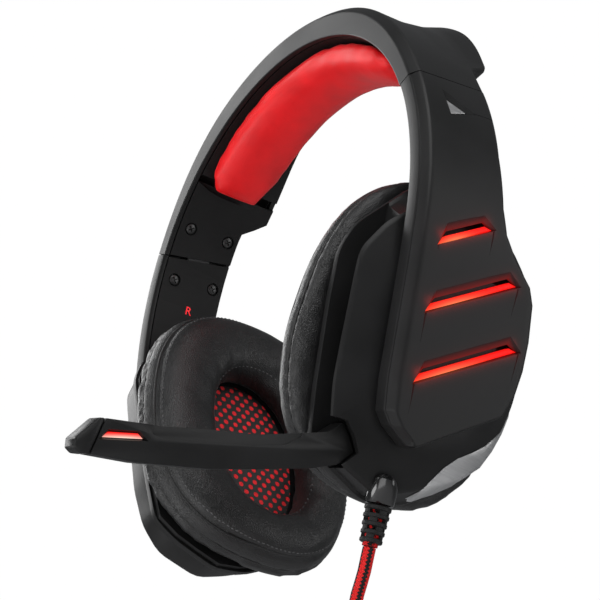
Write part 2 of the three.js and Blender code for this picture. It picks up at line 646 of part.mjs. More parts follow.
function boomShell() {
  const arm = slab(BOOM_OUTLINE, ...BOOM_O);
  const window = slab(BOOM_LIGHT, BOOM_O[1] - 1.6, BOOM_O[1] + 1);
  const capsuleBore = rodX(2.8, BOOM_O[0] - 1, BOOM_O[0] + 3.2).translate(0, CAPSULE.y, CAPSULE.v);
  const pivotBore = rodX(1.8, 0, 8.4).translate(0, BOOM_PIVOT.y, BOOM_PIVOT.v);
  return carve(arm, [window, capsuleBore, pivotBore]);
}

function boomLight() {
  const [cy, cv] = [0, 1].map(k => BOOM_LIGHT.reduce((sum, corner) => sum + corner[k], 0) / BOOM_LIGHT.length);
  const points = BOOM_LIGHT.map(([y, v]) => [cy + (y - cy) * 0.88, cv + (v - cv) * 0.7]);
  return slab(points, BOOM_O[1] - 1.25, BOOM_O[1] - 0.2);
}

function micCapsule() {
  return rodX(2.4, BOOM_O[0] + 0.3, BOOM_O[0] + 2.8).translate(0, CAPSULE.y, CAPSULE.v);
}

function boomPivot() {
  return turnedX([[0, 1.6], [1.45, 1.6], [1.45, 8], [0, 8]], 20).translate(0, BOOM_PIVOT.y, BOOM_PIVOT.v);
}

// ---- cable ----

// A lathe about the cable's way out of the cup; profile points are [radius, v].
function cableTurned(profile, sides = 14) {
  const points = profile.map(([r, v]) => new THREE.Vector2(r, v));
  return outward(new THREE.LatheGeometry(points, sides).rotateX(Math.PI / 2)).translate(CABLE_O, CABLE_Y, 0);
}

const GLAND_END_V = -49.4;
const RELIEF_END_V = -61.6;

function cableGland() {
  return cableTurned([[0, GLAND_END_V], [4.3, GLAND_END_V], [4.4, -47.4], [4.4, -39], [0, -39]]);
}

function strainRelief() {
  const top = GLAND_END_V - GAP, ribs = 5, pitch = (top - RELIEF_END_V) / ribs;
  const profile = [[0, top]];
  for (let i = 0; i < ribs; i++) {
    const v = top - i * pitch, radius = 4 - 0.15 * i;
    profile.push([radius, v], [radius, v - pitch * 0.6], [2.9, v - pitch * 0.6], [2.9, v - pitch]);
  }
  profile.push([0, RELIEF_END_V]);
  return cableTurned(profile);
}

// A round cord through hand-chosen points.
function cordTube(points, diameter, steps) {
  const section = new THREE.Shape(oval(0, 0, diameter / 2, diameter / 2, 8).map(([x, y]) => new THREE.Vector2(x, y)));
  const path = new THREE.CatmullRomCurve3(points);
  return new THREE.ExtrudeGeometry(section, { steps, extrudePath: path, bevelEnabled: false });
}

function cord() {
  const coilTop = COIL_CENTRE[2] + COIL_RADIUS + COIL_SECTION;
  const start = onCup(CABLE_O, CABLE_Y, RELIEF_END_V - GAP), down = onCup(CABLE_O, CABLE_Y, RELIEF_END_V - 6);
  return cordTube([start, down, new THREE.Vector3(37.6, CABLE_Y, -78), new THREE.Vector3(37, CABLE_Y, -86),
    new THREE.Vector3(COIL_CENTRE[0], CABLE_Y, coilTop + GAP)], CORD_DIAMETER, 12);
}

function cordCoil() {
  const section = oval(COIL_RADIUS, 0, COIL_SECTION, COIL_SECTION, 10);
  return turnedX([...section, section[0]], 32).translate(...COIL_CENTRE);
}

function cordTail() {
  const outer = COIL_RADIUS + COIL_SECTION, y = COIL_CENTRE[1] + TAIL_OFFSET_Y;
  const top = COIL_CENTRE[2] - Math.sqrt(outer ** 2 - (TAIL_OFFSET_Y - CORD_DIAMETER / 2) ** 2) - GAP;
  return cordTube([new THREE.Vector3(COIL_CENTRE[0], y, top), new THREE.Vector3(COIL_CENTRE[0], y, PLUG_TOP_Z + GAP)],
    CORD_DIAMETER, 4);
}

// The tie grips the bundle of turns on the side away from the tail.
function cableTie() {
  const inner = COIL_SECTION + 0.8, outer = inner + 1.2, half = 4;
  return turnedX([[inner, -half], [outer, -half], [outer, half], [inner, half], [inner, -half]], 24)
    .rotateY(Math.PI / 2).translate(COIL_CENTRE[0], COIL_CENTRE[1] - COIL_RADIUS, COIL_CENTRE[2]);
}

const PLUG_BODY = { width: 16, thickness: 8, length: 32 };
const PLUG_SHELL = { width: 12, thickness: 4.5, length: 12 };

function plugBlock({ width, thickness, length }, top) {
  const [x, y] = [COIL_CENTRE[0], COIL_CENTRE[1] + TAIL_OFFSET_Y];
  return box([x - thickness / 2, y - width / 2, top - length], [x + thickness / 2, y + width / 2, top]);
}

function usbPlugShell() {
  const top = PLUG_TOP_Z - PLUG_BODY.length - GAP, inner = { width: 11.2, thickness: 3.7, length: 9 };
  return carve(plugBlock(PLUG_SHELL, top), [plugBlock({ ...inner, length: 12 }, top - 4)]);
}

// ---- assembly ----

function finish(color, roughness, metalness = 0) {
  return () => new THREE.MeshStandardMaterial({ color, roughness, metalness });
}

const blackPlastic = finish(0x1c1c1d, 0.55);
const blackLeather = finish(0x1a1a1b, 0.6);
const redLeather = finish(0xd8141c, 0.5);
const redGlow = finish(0xff3a20, 0.35);
const steel = finish(0x8c8f92, 0.35, 1);
const silver = finish(0xb9babc, 0.3, 1);
const darkSteel = finish(0x2b2b2c, 0.4, 1);
const boardGreen = finish(0x1f4d36, 0.5);
const meshCloth = finish(0x3a0d0e, 0.8);
const rubber = finish(0x151516, 0.35);
const braid = finish(0x7a1414, 0.7);

const group = new THREE.Group();
const cupLeft = new THREE.Group(), cupRight = new THREE.Group();
cupLeft.position.set(CUP_X, 0, 0);
cupLeft.rotation.y = rad(CUP_TILT_DEG);
cupRight.position.set(-CUP_X, 0, 0);
cupRight.rotation.y = -rad(CUP_TILT_DEG);
group.add(cupLeft, cupRight);

function add(parent, name, geometry, material) {
  const mesh = new THREE.Mesh(geometry, material());
  mesh.name = name;
  parent.add(mesh);
}

function addPair(leftParent, rightParent, name, geometry, material) {
  add(leftParent, `left_${name}`, geometry, material);
  add(rightParent, `right_${name}`, mirrored(geometry.index ? geometry : mergeVertices(geometry)), material);
}

const framePair = (name, geometry, material) => addPair(group, group, name, geometry, material);
const cupPair = (name, geometry, material) => addPair(cupLeft, cupRight, name, geometry, material);

add(group, 'headband_outer_shell', bandOuterShell(), blackPlastic);
add(group, 'headband_pad_base', padBase(), blackPlastic);
add(group, 'headband_spring', bandSpring(), steel);
add(group, 'head_pad', headPad(), redLeather);
framePair('slider_cover', sliderCover(), blackPlastic);
SCREW_YS.forEach((y, i) => framePair(`slider_cover_screw_${i + 1}`, coverScrew(y), darkSteel));

framePair('arm_outer_shell', armOuterShell(), blackPlastic);
framePair('arm_inner_shell', armInnerShell(), blackPlastic);
framePair('slider_strip', sliderStrip(), steel);
framePair('arm_badge', badge(-GAP * 2, 0.7, SKIN), silver);
framePair('light_board', lightBoard(), boardGreen);
LIGHT_SLOTS.forEach((slot, i) => framePair(
  `light_guide_${i + 1}`, lightBar(slot, SLOT_HEIGHT - 2 * GAP, 2 * GAP, 0.6, 3.6), redGlow));
ARM_SCREWS.forEach((at, i) => framePair(`arm_screw_${i + 1}`, armScrew(at), darkSteel));

add(cupLeft, 'left_cup_housing', leftHousing(), blackPlastic);
add(cupRight, 'right_cup_housing', mirrored(cupHousing(-60, [])), blackPlastic);
cupPair('cup_accent', cupAccent(), silver);
cupPair('baffle', baffle(), blackPlastic);
cupPair('driver', driver(), darkSteel);
cupPair('driver_mesh', driverMesh(), meshCloth);
cupPair('ear_cushion', earCushion(), blackLeather);
cupPair('tilt_pin', tiltPin(), steel);

add(cupLeft, 'main_board', mainBoard(), boardGreen);
add(cupLeft, 'mic_boom_shell', boomShell(), blackPlastic);
add(cupLeft, 'mic_tip_cap', slab(TIP_OUTLINE, ...BOOM_O), blackPlastic);
add(cupLeft, 'mic_light_guide', boomLight(), redGlow);
add(cupLeft, 'mic_capsule', micCapsule(), darkSteel);
add(cupLeft, 'mic_pivot_pin', boomPivot(), steel);

add(cupLeft, 'cable_gland', cableGland(), rubber);
add(cupLeft, 'cable_strain_relief', strainRelief(), rubber);
add(group, 'cord', cord(), braid);
add(group, 'cord_coil', cordCoil(), braid);
add(group, 'cord_tail', cordTail(), braid);
add(group, 'cable_tie', cableTie(), rubber);
add(group, 'usb_plug_body', plugBlock(PLUG_BODY, PLUG_TOP_Z), rubber);
add(group, 'usb_plug_shell', usbPlugShell(), silver);

export default group;
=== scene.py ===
"""Gaming headset: the looks. Positions are in millimetres in the part's frame and are scaled to metres."""

import math

import bmesh
import bpy
import numpy as np
from mathutils import Matrix, Vector
from mathutils.bvhtree import BVHTree


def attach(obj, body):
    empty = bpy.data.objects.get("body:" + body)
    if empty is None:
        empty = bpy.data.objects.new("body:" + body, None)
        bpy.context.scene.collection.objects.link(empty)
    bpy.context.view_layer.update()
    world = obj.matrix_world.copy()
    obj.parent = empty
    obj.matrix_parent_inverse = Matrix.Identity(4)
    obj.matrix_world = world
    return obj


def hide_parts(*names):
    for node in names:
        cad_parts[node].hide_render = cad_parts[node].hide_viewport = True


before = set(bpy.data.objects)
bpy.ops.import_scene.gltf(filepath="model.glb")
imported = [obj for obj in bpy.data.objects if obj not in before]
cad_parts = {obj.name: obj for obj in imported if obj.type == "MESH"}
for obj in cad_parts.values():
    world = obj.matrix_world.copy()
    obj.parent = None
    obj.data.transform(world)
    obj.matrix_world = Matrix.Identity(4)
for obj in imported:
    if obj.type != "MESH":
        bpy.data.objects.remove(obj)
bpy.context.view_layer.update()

MM = 0.001

# Sizes shared with the solids, in mm
GAP, SKIN, WALL = 0.35, 2.0, 1.8
BAND_RADIUS, BAND_CENTRE_Z, BAND_DEPTH, CROWN_RISE = 83.2, 46.2, 7.6, 3.1
FRONT, BACK, REAR_SLANT = -27.3, 2.0, 3.0
SEAM_DEG, SEAM_SLANT_DEG = 22.5, 3.5
CHAMFER_DEPTH, CHAMFER_WIDTH = 2.4, 2.6
COVER_THICKNESS = 1.6
ARM_RADIUS, ARM_DEPTH, ARM_INNER_DEPTH = 98.0, 7.2, 5.6
CUP_TILT_DEG, CUP_X = 16.6, 51.9
CHANNEL_O, CHANNEL_Y = (3.2, 10.8), -26.2
PIVOT_Y, PIVOT_V = -28.5, -35.5
BOOM_O = (3.7, 10.3)
CABLE_O, CABLE_Y = 9.0, -10.5


# ---- numbers ----


def smooth(x, a, b):
    t = min(max((x - a) / (b - a), 0.0), 1.0)
    return t * t * (3 - 2 * t)


def mix(a, b, t):
    return a + (b - a) * t


def steps(a, b, count):
    return [mix(a, b, i / count) for i in range(count + 1)]


def circle(count):
    """Angles of count equal steps round a circle."""
    return [2 * math.pi * k / count for k in range(count)]


def spline(points, count):
    """count points on a Catmull-Rom curve through the points, evenly spread over its parameter."""
    pts = [Vector(p) for p in points]
    last = len(pts) - 1
    made = []
    for i in range(count):
        s = i / (count - 1) * last
        k = min(int(s), last - 1)
        t = s - k
        p0, p1, p2, p3 = (pts[min(max(j, 0), last)] for j in range(k - 1, k + 3))
        made.append(0.5 * ((2 * p1) + (p2 - p0) * t + (2 * p0 - 5 * p1 + 4 * p2 - p3) * t * t
                           + (3 * p1 - p0 - 3 * p2 + p3) * t ** 3))
    return made


def along(knots, x):
    """Value at x on a polyline of (x, value) knots."""
    return float(np.interp(x, [k[0] for k in knots], [k[1] for k in knots]))


def rounded(points, radii, count=4):
    """A closed polygon with each corner rounded by count + 1 points; radii go with the corners."""
    made = []
    n = len(points)
    for i, (p, r) in enumerate(zip(points, radii)):
        p, before, after = Vector(p), Vector(points[i - 1]), Vector(points[(i + 1) % n])
        a, b = before - p, after - p
        a, b = a.normalized() * min(r, a.length * 0.45), b.normalized() * min(r, b.length * 0.45)
        if r <= 0:
            made.append(p)
            continue
        for k in range(count + 1):
            t = k / count
            made.append(p + a * (1 - t) ** 2 + b * t ** 2)
    return made


# ---- places ----


def on_band(radius, y, deg):
    a = math.radians(deg)
    return Vector((radius * math.cos(a), y, BAND_CENTRE_Z + radius * math.sin(a)))


ARM_CENTRE = on_band(BAND_RADIUS - ARM_RADIUS, 0, SEAM_DEG)
ARM_ARC = ARM_RADIUS * math.radians(SEAM_DEG + CUP_TILT_DEG)


def arm_deg(t):
    return SEAM_DEG - math.degrees(min(t, ARM_ARC) / ARM_RADIUS)


def on_arm(depth, y, t):
    """A point of the left arm: depth in from its outer face, y, and distance t down from the seam."""
    a, beyond = math.radians(arm_deg(t)), max(0.0, t - ARM_ARC)
    return Vector((ARM_CENTRE.x + (ARM_RADIUS - depth) * math.cos(a) + beyond * math.sin(a), y,
                   ARM_CENTRE.z + (ARM_RADIUS - depth) * math.sin(a) - beyond * math.cos(a)))


def arm_frame(y, t):
    """Frame on the arm's outer face: x out of the face, y back, z up along the arm."""
    return Matrix.Translation(on_arm(0, y, t)) @ Matrix.Rotation(-math.radians(arm_deg(t)), 4, "Y")


def band_frame(y, deg):
    return Matrix.Translation(on_band(0, y, deg)) @ Matrix.Rotation(-math.radians(deg), 4, "Y")


CUP = Matrix.Translation((CUP_X, 0, 0)) @ Matrix.Rotation(math.radians(CUP_TILT_DEG), 4, "Y")


def on_cup(o, y, v):
    """A point of the left cup's own frame: o out from the head, y back and v up."""
    return CUP @ Vector((o, y, v))


# ---- meshes ----


def in_mm(co, right):
    """A mesh point in mm, on the left side's place."""
    return Vector((co.x / MM * (-1 if right else 1), co.y / MM, co.z / MM))


def to_mesh(point, right):
    """A point in mm of the left side, as a mesh point."""
    return Vector((point.x * MM * (-1 if right else 1), point.y * MM, point.z * MM))


def linked(name, data):
    """A new object in the scene."""
    obj = bpy.data.objects.new(name, data)
    bpy.context.scene.collection.objects.link(obj)
    return obj


def baked(obj):
    """A new mesh of the object with its modifiers applied."""
    bpy.context.view_layer.update()
    graph = bpy.context.evaluated_depsgraph_get()
    return bpy.data.meshes.new_from_object(obj.evaluated_get(graph))


def make_object(name, points, faces, material, smooth_deg=35, right=False):
    """A mesh object from points in mm; right mirrors it onto the right side."""
    side = -1 if right else 1
    mesh = bpy.data.meshes.new(name)
    if right:
        faces = [tuple(reversed(f)) for f in faces]
    mesh.from_pydata([(p[0] * MM * side, p[1] * MM, p[2] * MM) for p in points], [], faces)
    return finish_mesh(name, mesh, material, smooth_deg)


def finish_mesh(name, mesh, material, smooth_deg=35):
    bm = bmesh.new()
    bm.from_mesh(mesh)
    bmesh.ops.remove_doubles(bm, verts=bm.verts, dist=1e-6)
    bmesh.ops.recalc_face_normals(bm, faces=bm.faces)
    bm.to_mesh(mesh)
    bm.free()
    obj = linked(name, mesh)
    if material:
        obj.data.materials.append(material)
    soften(obj, smooth_deg)
    return obj


def soften(obj, degrees):
    obj.data.shade_smooth()
    if degrees < 180:
        obj.data.set_sharp_from_angle(angle=math.radians(degrees))


def lofted(rings, closed=False):
    """Points and faces of a skin over rings of equally many points."""
    n, count = len(rings[0]), len(rings)
    faces = []
    for i in range(count if closed else count - 1):
        for k in range(n):
            a, b = i * n + k, i * n + (k + 1) % n
            c, d = ((i + 1) % count) * n + (k + 1) % n, ((i + 1) % count) * n + k
            faces.append((a, b, c, d))
    if not closed:
        faces.append(tuple(range(n)))
        faces.append(tuple((count - 1) * n + k for k in range(n)))
    return [p for ring in rings for p in ring], faces


def tube(name, line, radius, material, sides=8, right=False, closed=False):
    """A round tube along points, with turning kept even."""
    line = [Vector(p) for p in line]
    n = len(line)
    rings, up = [], None
    for i, p in enumerate(line):
        before = line[(i - 1) % n] if closed else line[max(i - 1, 0)]
        after = line[(i + 1) % n] if closed else line[min(i + 1, n - 1)]
        run = (after - before).normalized()
        if up is None:
            up = run.orthogonal().normalized()
        up = (up - run * up.dot(run)).normalized()
        side = run.cross(up)
        rings.append([p + (up * math.cos(a) + side * math.sin(a)) * radius for a in circle(sides)])
    return solid(name, lofted(rings, closed), material, right, 60)


def joined(parts):
    """Points and faces of several skins as one."""
    points, faces = [], []
    for part_points, part_faces in parts:
        base = len(points)
        points.extend(part_points)
        faces.extend(tuple(base + k for k in face) for face in part_faces)
    return points, faces


def slab(outline, o0, o1, frame_matrix):
    """Points and faces of a flat shape of (y, v) points between two heights along the frame's x."""
    rings = [[frame_matrix @ Vector((o, y, v)) for y, v in outline] for o in (o0, o1)]
    return lofted(rings)


def cut(obj, cutters):
    """Takes each cutter out of obj and removes it."""
    for cutter in cutters:
        mod = obj.modifiers.new("cut", "BOOLEAN")
        mod.operation, mod.object, mod.solver = "DIFFERENCE", cutter, "EXACT"
        mesh = baked(obj)
        obj.modifiers.remove(mod)
        obj.data = mesh
        bpy.data.objects.remove(cutter)


def bevel(obj, width, segments=2, degrees=32):
    mod = obj.modifiers.new("edges", "BEVEL")
    mod.width, mod.segments, mod.limit_method = width * MM, segments, "ANGLE"
    mod.angle_limit = math.radians(degrees)
    mod.use_clamp_overlap = True
    mod.harden_normals = True


def apply_modifiers(obj):
    mesh = baked(obj)
    obj.modifiers.clear()
    obj.data = mesh


def solid(name, points_faces, material=None, right=False, smooth_deg=35):
    return make_object(name, *points_faces, material, smooth_deg, right)


def map_uv(obj, place):
    """Writes the UV layer mm: what place says of each polygon's corner."""
    uv = obj.data.uv_layers.new(name="mm")
    for poly in obj.data.polygons:
        for loop, vert in zip(poly.loop_indices, poly.vertices):
            uv.data[loop].uv = place(vert, poly)


# ---- materials ----


class Shader:
    """A Principled material with a few helpers for its nodes."""

    def __init__(self, name, color, roughness, metallic=0.0, **sockets):
        self.material = bpy.data.materials.new(name)
        self.material.use_nodes = True
        self.tree = self.material.node_tree
        self.main = self.tree.nodes["Principled BSDF"]
        self.set(self.main, "Base Color", (*color, 1))
        self.set(self.main, "Roughness", roughness)
        self.set(self.main, "Metallic", metallic)
        for key, value in sockets.items():
            self.set(self.main, key.replace("_", " "), value)
        self.place = self.node("ShaderNodeTexCoord").outputs["Object"]

    def set(self, node, socket, value):
        node.inputs[socket].default_value = value

    def node(self, kind, **props):
        made = self.tree.nodes.new(kind)
        for key, value in props.items():
            setattr(made, key, value)
        return made

    def link(self, a, b):
        self.tree.links.new(a, b)

    def math(self, operation, a, b=0.0, clamp=False):
        made = self.node("ShaderNodeMath", operation=operation, use_clamp=clamp)
        for i, x in enumerate((a, b)):
            if isinstance(x, (int, float)):
                made.inputs[i].default_value = x
            else:
                self.link(x, made.inputs[i])
        return made.outputs[0]

    def noise(self, scale, detail=3.0, stretch=(1, 1, 1)):
        mapping = self.node("ShaderNodeMapping")
        self.set(mapping, "Scale", stretch)
        self.link(self.place, mapping.inputs["Vector"])
        made = self.node("ShaderNodeTexNoise")
        self.link(mapping.outputs[0], made.inputs["Vector"])
        self.set(made, "Scale", scale)
        self.set(made, "Detail", detail)
        return made.outputs[0]

    def cells(self, scale):
        made = self.node("ShaderNodeTexVoronoi", feature="DISTANCE_TO_EDGE")
        self.link(self.place, made.inputs["Vector"])
        self.set(made, "Scale", scale)
        return made.outputs[0]

    def range(self, value, low, high, new_low, new_high):
        made = self.node("ShaderNodeMapRange")
        self.link(value, made.inputs[0])
        for i, x in enumerate((low, high, new_low, new_high)):
            made.inputs[i + 1].default_value = x
        return made.outputs[0]

    def blend(self, factor, a, b):
        made = self.node("ShaderNodeMix", data_type="RGBA")
        self.link(factor, made.inputs[0])
        for i, x in ((6, a), (7, b)):
            if isinstance(x, tuple):
                made.inputs[i].default_value = (*x, 1)
            else:
                self.link(x, made.inputs[i])
        return made.outputs[2]

    def bump(self, height, strength, distance):
        made = self.node("ShaderNodeBump")
        self.set(made, "Strength", strength)
        self.set(made, "Distance", distance)
        self.link(height, made.inputs["Height"])
        if self.main.inputs["Normal"].is_linked:
            self.link(self.main.inputs["Normal"].links[0].from_socket, made.inputs["Normal"])
        self.link(made.outputs[0], self.main.inputs["Normal"])

    def color(self, value):
        self.link(value, self.main.inputs["Base Color"])

    def rough(self, value):
        self.link(value, self.main.inputs["Roughness"])


def plastic(name, tone, roughness, grain=0.06, glow=False, shine=0.16):
    """Moulded black plastic: fine spark-eroded grain, slow variation and faint rubbed patches; with glow, a
    painted red glow near the light bars.
    """
    s = Shader(name, (tone, tone, tone), roughness, Specular_IOR_Level=shine)
    patches = s.noise(38, 4)
    worn = (tone * 1.5, tone * 1.5, tone * 1.55)
    s.color(s.blend(s.range(patches, 0.35, 0.75, 0, 1), (tone, tone, tone), worn))
    s.rough(s.range(patches, 0.3, 0.8, roughness - 0.05, roughness + 0.07))
    s.bump(s.noise(2600, 2), grain, 0.0002)
    if glow:
        # painted glow: red emission on the shell near the slots stands in for the bars' light falling on it
        painted_bar_glow = s.node("ShaderNodeAttribute", attribute_name="glow").outputs["Fac"]
        s.link(s.blend(painted_bar_glow, (0, 0, 0), (1.0, 0.02, 0.012)), s.main.inputs["Emission Color"])
        s.set(s.main, "Emission Strength", 0.5)
    return s.material


def leather(name, color, dark, roughness, grain, wrinkle, shine=0.3):
    """Leatherette: pebbled grain, creased patches with painted shade in their low parts, and a soft sheen."""
    s = Shader(name, color, roughness, Specular_IOR_Level=shine, Sheen_Weight=0.03, Sheen_Roughness=0.4)
    pebbles, folds = s.cells(1500), s.noise(90, 5)
    # painted shade: the colour goes to the darker tone where the wrinkle bump is low, in the creases
    s.color(s.blend(s.range(folds, 0.35, 0.7, 0, 1), dark, color))
    s.rough(s.range(folds, 0.3, 0.75, roughness - 0.06, roughness + 0.08))
    s.bump(folds, wrinkle, 0.002)
    s.bump(s.range(pebbles, 0, 0.35, 0, 1), grain, 0.00025)
    return s.material


def brushed(name, tone, roughness, stretch):
    s = Shader(name, (tone, tone, tone * 1.01), roughness, 1.0)
    lines = s.noise(900, 2, stretch)
    s.color(s.blend(lines, (tone * 0.8,) * 3, (min(tone * 1.15, 1),) * 3))
    s.rough(s.range(lines, 0.2, 0.8, roughness - 0.08, roughness + 0.1))
    s.bump(lines, 0.08, 0.0001)
    return s.material


def light_bar(name, centre, spread, floor, hot, strength):
    """A lit translucent bar: deep red, with the lamp behind it showing along the lower edge."""
    s = Shader(name, (0.35, 0.004, 0.003), 0.45, Specular_IOR_Level=0.1)
    along = s.node("ShaderNodeAttribute", attribute_name="along").outputs["Fac"]
    up = s.node("ShaderNodeAttribute", attribute_name="up").outputs["Fac"]
    off = s.math("MULTIPLY", s.math("SUBTRACT", along, centre), 1 / spread)
    lamp = s.math("POWER", 2.718, s.math("MULTIPLY", s.math("MULTIPLY", off, off), -1.0))
    low = s.math("POWER", s.range(up, 0.0, 1.0, 1.0, floor), 2.0)
    heat = s.math("MULTIPLY", s.math("MULTIPLY", lamp, low), strength, clamp=True)
    s.link(s.blend(heat, (0.86, 0.006, 0.005), hot), s.main.inputs["Emission Color"])
    s.set(s.main, "Emission Strength", 1.0)
    return s.material


def dotted_cloth(name):
    """Black mesh over red cloth: staggered oval windows that show the red."""
    s = Shader(name, (0.01, 0.01, 0.01), 0.7)
    uv = s.node("ShaderNodeUVMap", uv_map="mm").outputs[0]
    split = s.node("ShaderNodeSeparateXYZ")
    s.link(uv, split.inputs[0])
    row = s.math("FLOOR", s.math("DIVIDE", split.outputs["Y"], 2.5))
    shift = s.math("MULTIPLY", s.math("MODULO", s.math("ABSOLUTE", row), 2.0), 1.9)
    x = s.math("PINGPONG", s.math("ADD", split.outputs["X"], shift), 1.9)
    x = s.math("DIVIDE", x, 0.95)
    y = s.math("SUBTRACT", s.math("PINGPONG", s.math("DIVIDE", split.outputs["Y"], 1.25), 1.0), 1.0)
    far = s.math("ADD", s.math("MULTIPLY", x, x), s.math("MULTIPLY", s.math("MULTIPLY", y, y), 1.6))
    hole = s.range(far, 1.0, 0.75, 0, 1)
    s.color(s.blend(hole, (0.012, 0.011, 0.011), (0.75, 0.012, 0.018)))
    s.rough(s.range(hole, 0, 1, 0.55, 0.85))
    s.bump(s.math("SUBTRACT", 1.0, hole), 0.6, 0.0006)
    s.bump(s.noise(3000, 2), 0.3, 0.0002)
    return s.material


def braid(name):
    """Braided sleeve: red and black strands in a zigzag; U goes round the cord and V along it, in mm."""
    s = Shader(name, (0.3, 0.01, 0.01), 0.6, Specular_IOR_Level=0.2)
    uv = s.node("ShaderNodeUVMap", uv_map="mm").outputs[0]
    split = s.node("ShaderNodeSeparateXYZ")
    s.link(uv, split.inputs[0])
    teeth = s.math("PINGPONG", split.outputs["Y"], 0.55)
    lane = s.math("ADD", split.outputs["X"], s.math("MULTIPLY", teeth, 0.55))
    red = s.range(s.math("SINE", s.math("MULTIPLY", lane, 4.0)), -0.32, -0.14, 0, 1)
    s.color(s.blend(red, (0.008, 0.007, 0.007), (0.62, 0.012, 0.012)))
    weave = s.math("PINGPONG", s.math("ADD", split.outputs["Y"], split.outputs["X"]), 0.28)
    s.bump(s.math("MULTIPLY", weave, 3.0), 0.8, 0.0004)
    return s.material


# the satin black of the arm shells carries the painted glow of the light bars
BLACK = plastic("satin_black", 0.0075, 0.42, glow=True)
COVER = plastic("cover_black", 0.0055, 0.5)
HOUSING = plastic("housing_black", 0.0065, 0.42)
GLOSS = plastic("gloss_black", 0.004, 0.16, grain=0.01, shine=0.5)
RUBBER = plastic("rubber_black", 0.009, 0.5)
# the second colour of each leatherette is the painted shade of its creases
HIDE = leather("black_leatherette", (0.0075, 0.0075, 0.0078), (0.0045, 0.0045, 0.0046), 0.38, 0.32, 0.1, 0.34)
RED_HIDE = leather("red_leatherette", (0.70, 0.006, 0.009), (0.56, 0.004, 0.006), 0.45, 0.12, 0.05)
PIPING = leather("piping_leatherette", (0.005, 0.005, 0.005), (0.003, 0.003, 0.003), 0.5, 0.3, 0.1)
THREAD = plastic("thread", 0.06, 0.7)
SILVER = brushed("brushed_silver", 0.55, 0.34, (0.2, 0.2, 3))
STEEL = brushed("spring_steel", 0.1, 0.36, (1, 0.1, 1))
SCREW = brushed("screw_steel", 0.06, 0.4, (1, 1, 0.3))
BOARD = plastic("circuit_board", 0.02, 0.5)
GLOW = light_bar("lit_red", 0.68, 0.26, 0.3, (1.0, 0.3, 0.12), 0.75)
MIC_GLOW = light_bar("mic_lit_red", 0.5, 0.7, 0.0, (1.0, 0.85, 0.7), 1.0)
CLOTH = dotted_cloth("speaker_mesh")
BRAID = braid("cord_braid")
# painted glow: emission makes the red side letters brighter than their lit colour, though they hold no lamp
MARK = Shader("side_mark_red", (0.75, 0.006, 0.012), 0.5, Emission_Color=(1, 0.01, 0.02, 1),
              Emission_Strength=0.45).material


# ---- camera ----


def make_camera():
    data = bpy.data.cameras.new("camera")
    data.lens, data.sensor_width, data.clip_end = 116.94, 36, 20
    camera = linked("camera", data)
    right, up = Vector((0.5620, 0.8245, 0.0652)), Vector((0.3486, -0.3076, 0.8853))
    back = right.cross(up).normalized()
    up = back.cross(right).normalized()
    matrix = Matrix((right.normalized(), up, back)).transposed().to_4x4()
    matrix.translation = Vector((0.4747, -0.3135, -0.2572))
    camera.matrix_world = matrix
    bpy.context.scene.camera = camera


make_camera()

# ---- cord ----

COIL = Vector((37, -10.5, -125))
COIL_TURNS = [(-2, 7), (2, 7), (4, 3.5), (0, 3.5), (-4, 3.5), (-6, 0), (-2, 0), (2, 0), (6, 0), (4, -3.5),
              (0, -3.5), (-4, -3.5), (-2, -7), (2, -7)]    # x, and out from the middle of the turns
COIL_RADIUS, CORD_DIAMETER = 23.0, 4.0


def cord_route():
    lead = [on_cup(CABLE_O, CABLE_Y, -61.95), on_cup(CABLE_O, CABLE_Y, -67), on_cup(CABLE_O, CABLE_Y, -70),
            Vector((37.7, -10.5, -76)), Vector((37, -10.5, -82)), Vector((36.6, -8.8, -88)),
            Vector((36, -3.2, -92.2)), Vector((35.4, 4, -96.4))]
    lead = spline(lead, 30)
    turns, per_turn, start = [], 26, 45
    count = per_turn * len(COIL_TURNS)
    for i in range(count):
        whole, part = divmod(i / per_turn, 1)
        a, b = COIL_TURNS[int(whole)], COIL_TURNS[min(int(whole) + 1, len(COIL_TURNS) - 1)]
        t = smooth(part, 0.7, 1)
        x, out = mix(a[0], b[0], t), mix(a[1], b[1], t)
        angle = math.radians(start - 360 * i / per_turn)
        radius = COIL_RADIUS + out
        turns.append(COIL + Vector((x, radius * math.cos(angle), radius * math.sin(angle))))
    tail = spline([turns[-1], COIL + Vector((4, 15, 3)), Vector((47.2, 9, -132)), Vector((46, 14, -141)),
                   Vector((40, 16.3, -148.5)), Vector((37, 16.5, -154.6))], 20)
    return lead + turns[1:] + tail[1:]


def make_cord():
    line = cord_route()
    # evenly spaced points along the route
    raw = np.array([tuple(p) for p in line])
    run = np.concatenate([[0], np.cumsum(np.linalg.norm(np.diff(raw, axis=0), axis=1))])
    at = np.linspace(0, run[-1], 620)
    path = [Vector([float(np.interp(s, run, raw[:, k])) for k in range(3)]) for s in at]
    sides, spacing = 12, run[-1] / (len(path) - 1)
    cord = tube("braided_cord", path, CORD_DIAMETER / 2, BRAID, sides)

    def round_and_along(vert, poly):
        ring, k = divmod(vert, sides)
        corners = [v % sides for v in poly.vertices]
        if k == 0 and max(corners) - min(corners) > 2:
            k = sides
        return k / sides * 2 * math.pi, ring * spacing

    map_uv(cord, round_and_along)
    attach(cord, "cup_left")
    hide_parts("cord", "cord_coil", "cord_tail")


def make_tie():
    """A hook and loop strap round the bundle of turns."""
    centre = COIL + Vector((0, -COIL_RADIUS, 0))
    rings = []
    for a in circle(40):
        ring = []
        for r, z in rounded([(9.5, -4), (10.7, -4), (10.7, 4), (9.5, 4)], [0.4] * 4, 3):
            ring.append(centre + Vector((r * math.cos(a) * 0.92, r * math.sin(a), z)))
        rings.append(ring)
    strap = solid("cable_tie_strap", lofted(rings, closed=True), RUBBER)
    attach(strap, "cup_left")
    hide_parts("cable_tie")


make_tie()
make_cord()

# ---- headband ----


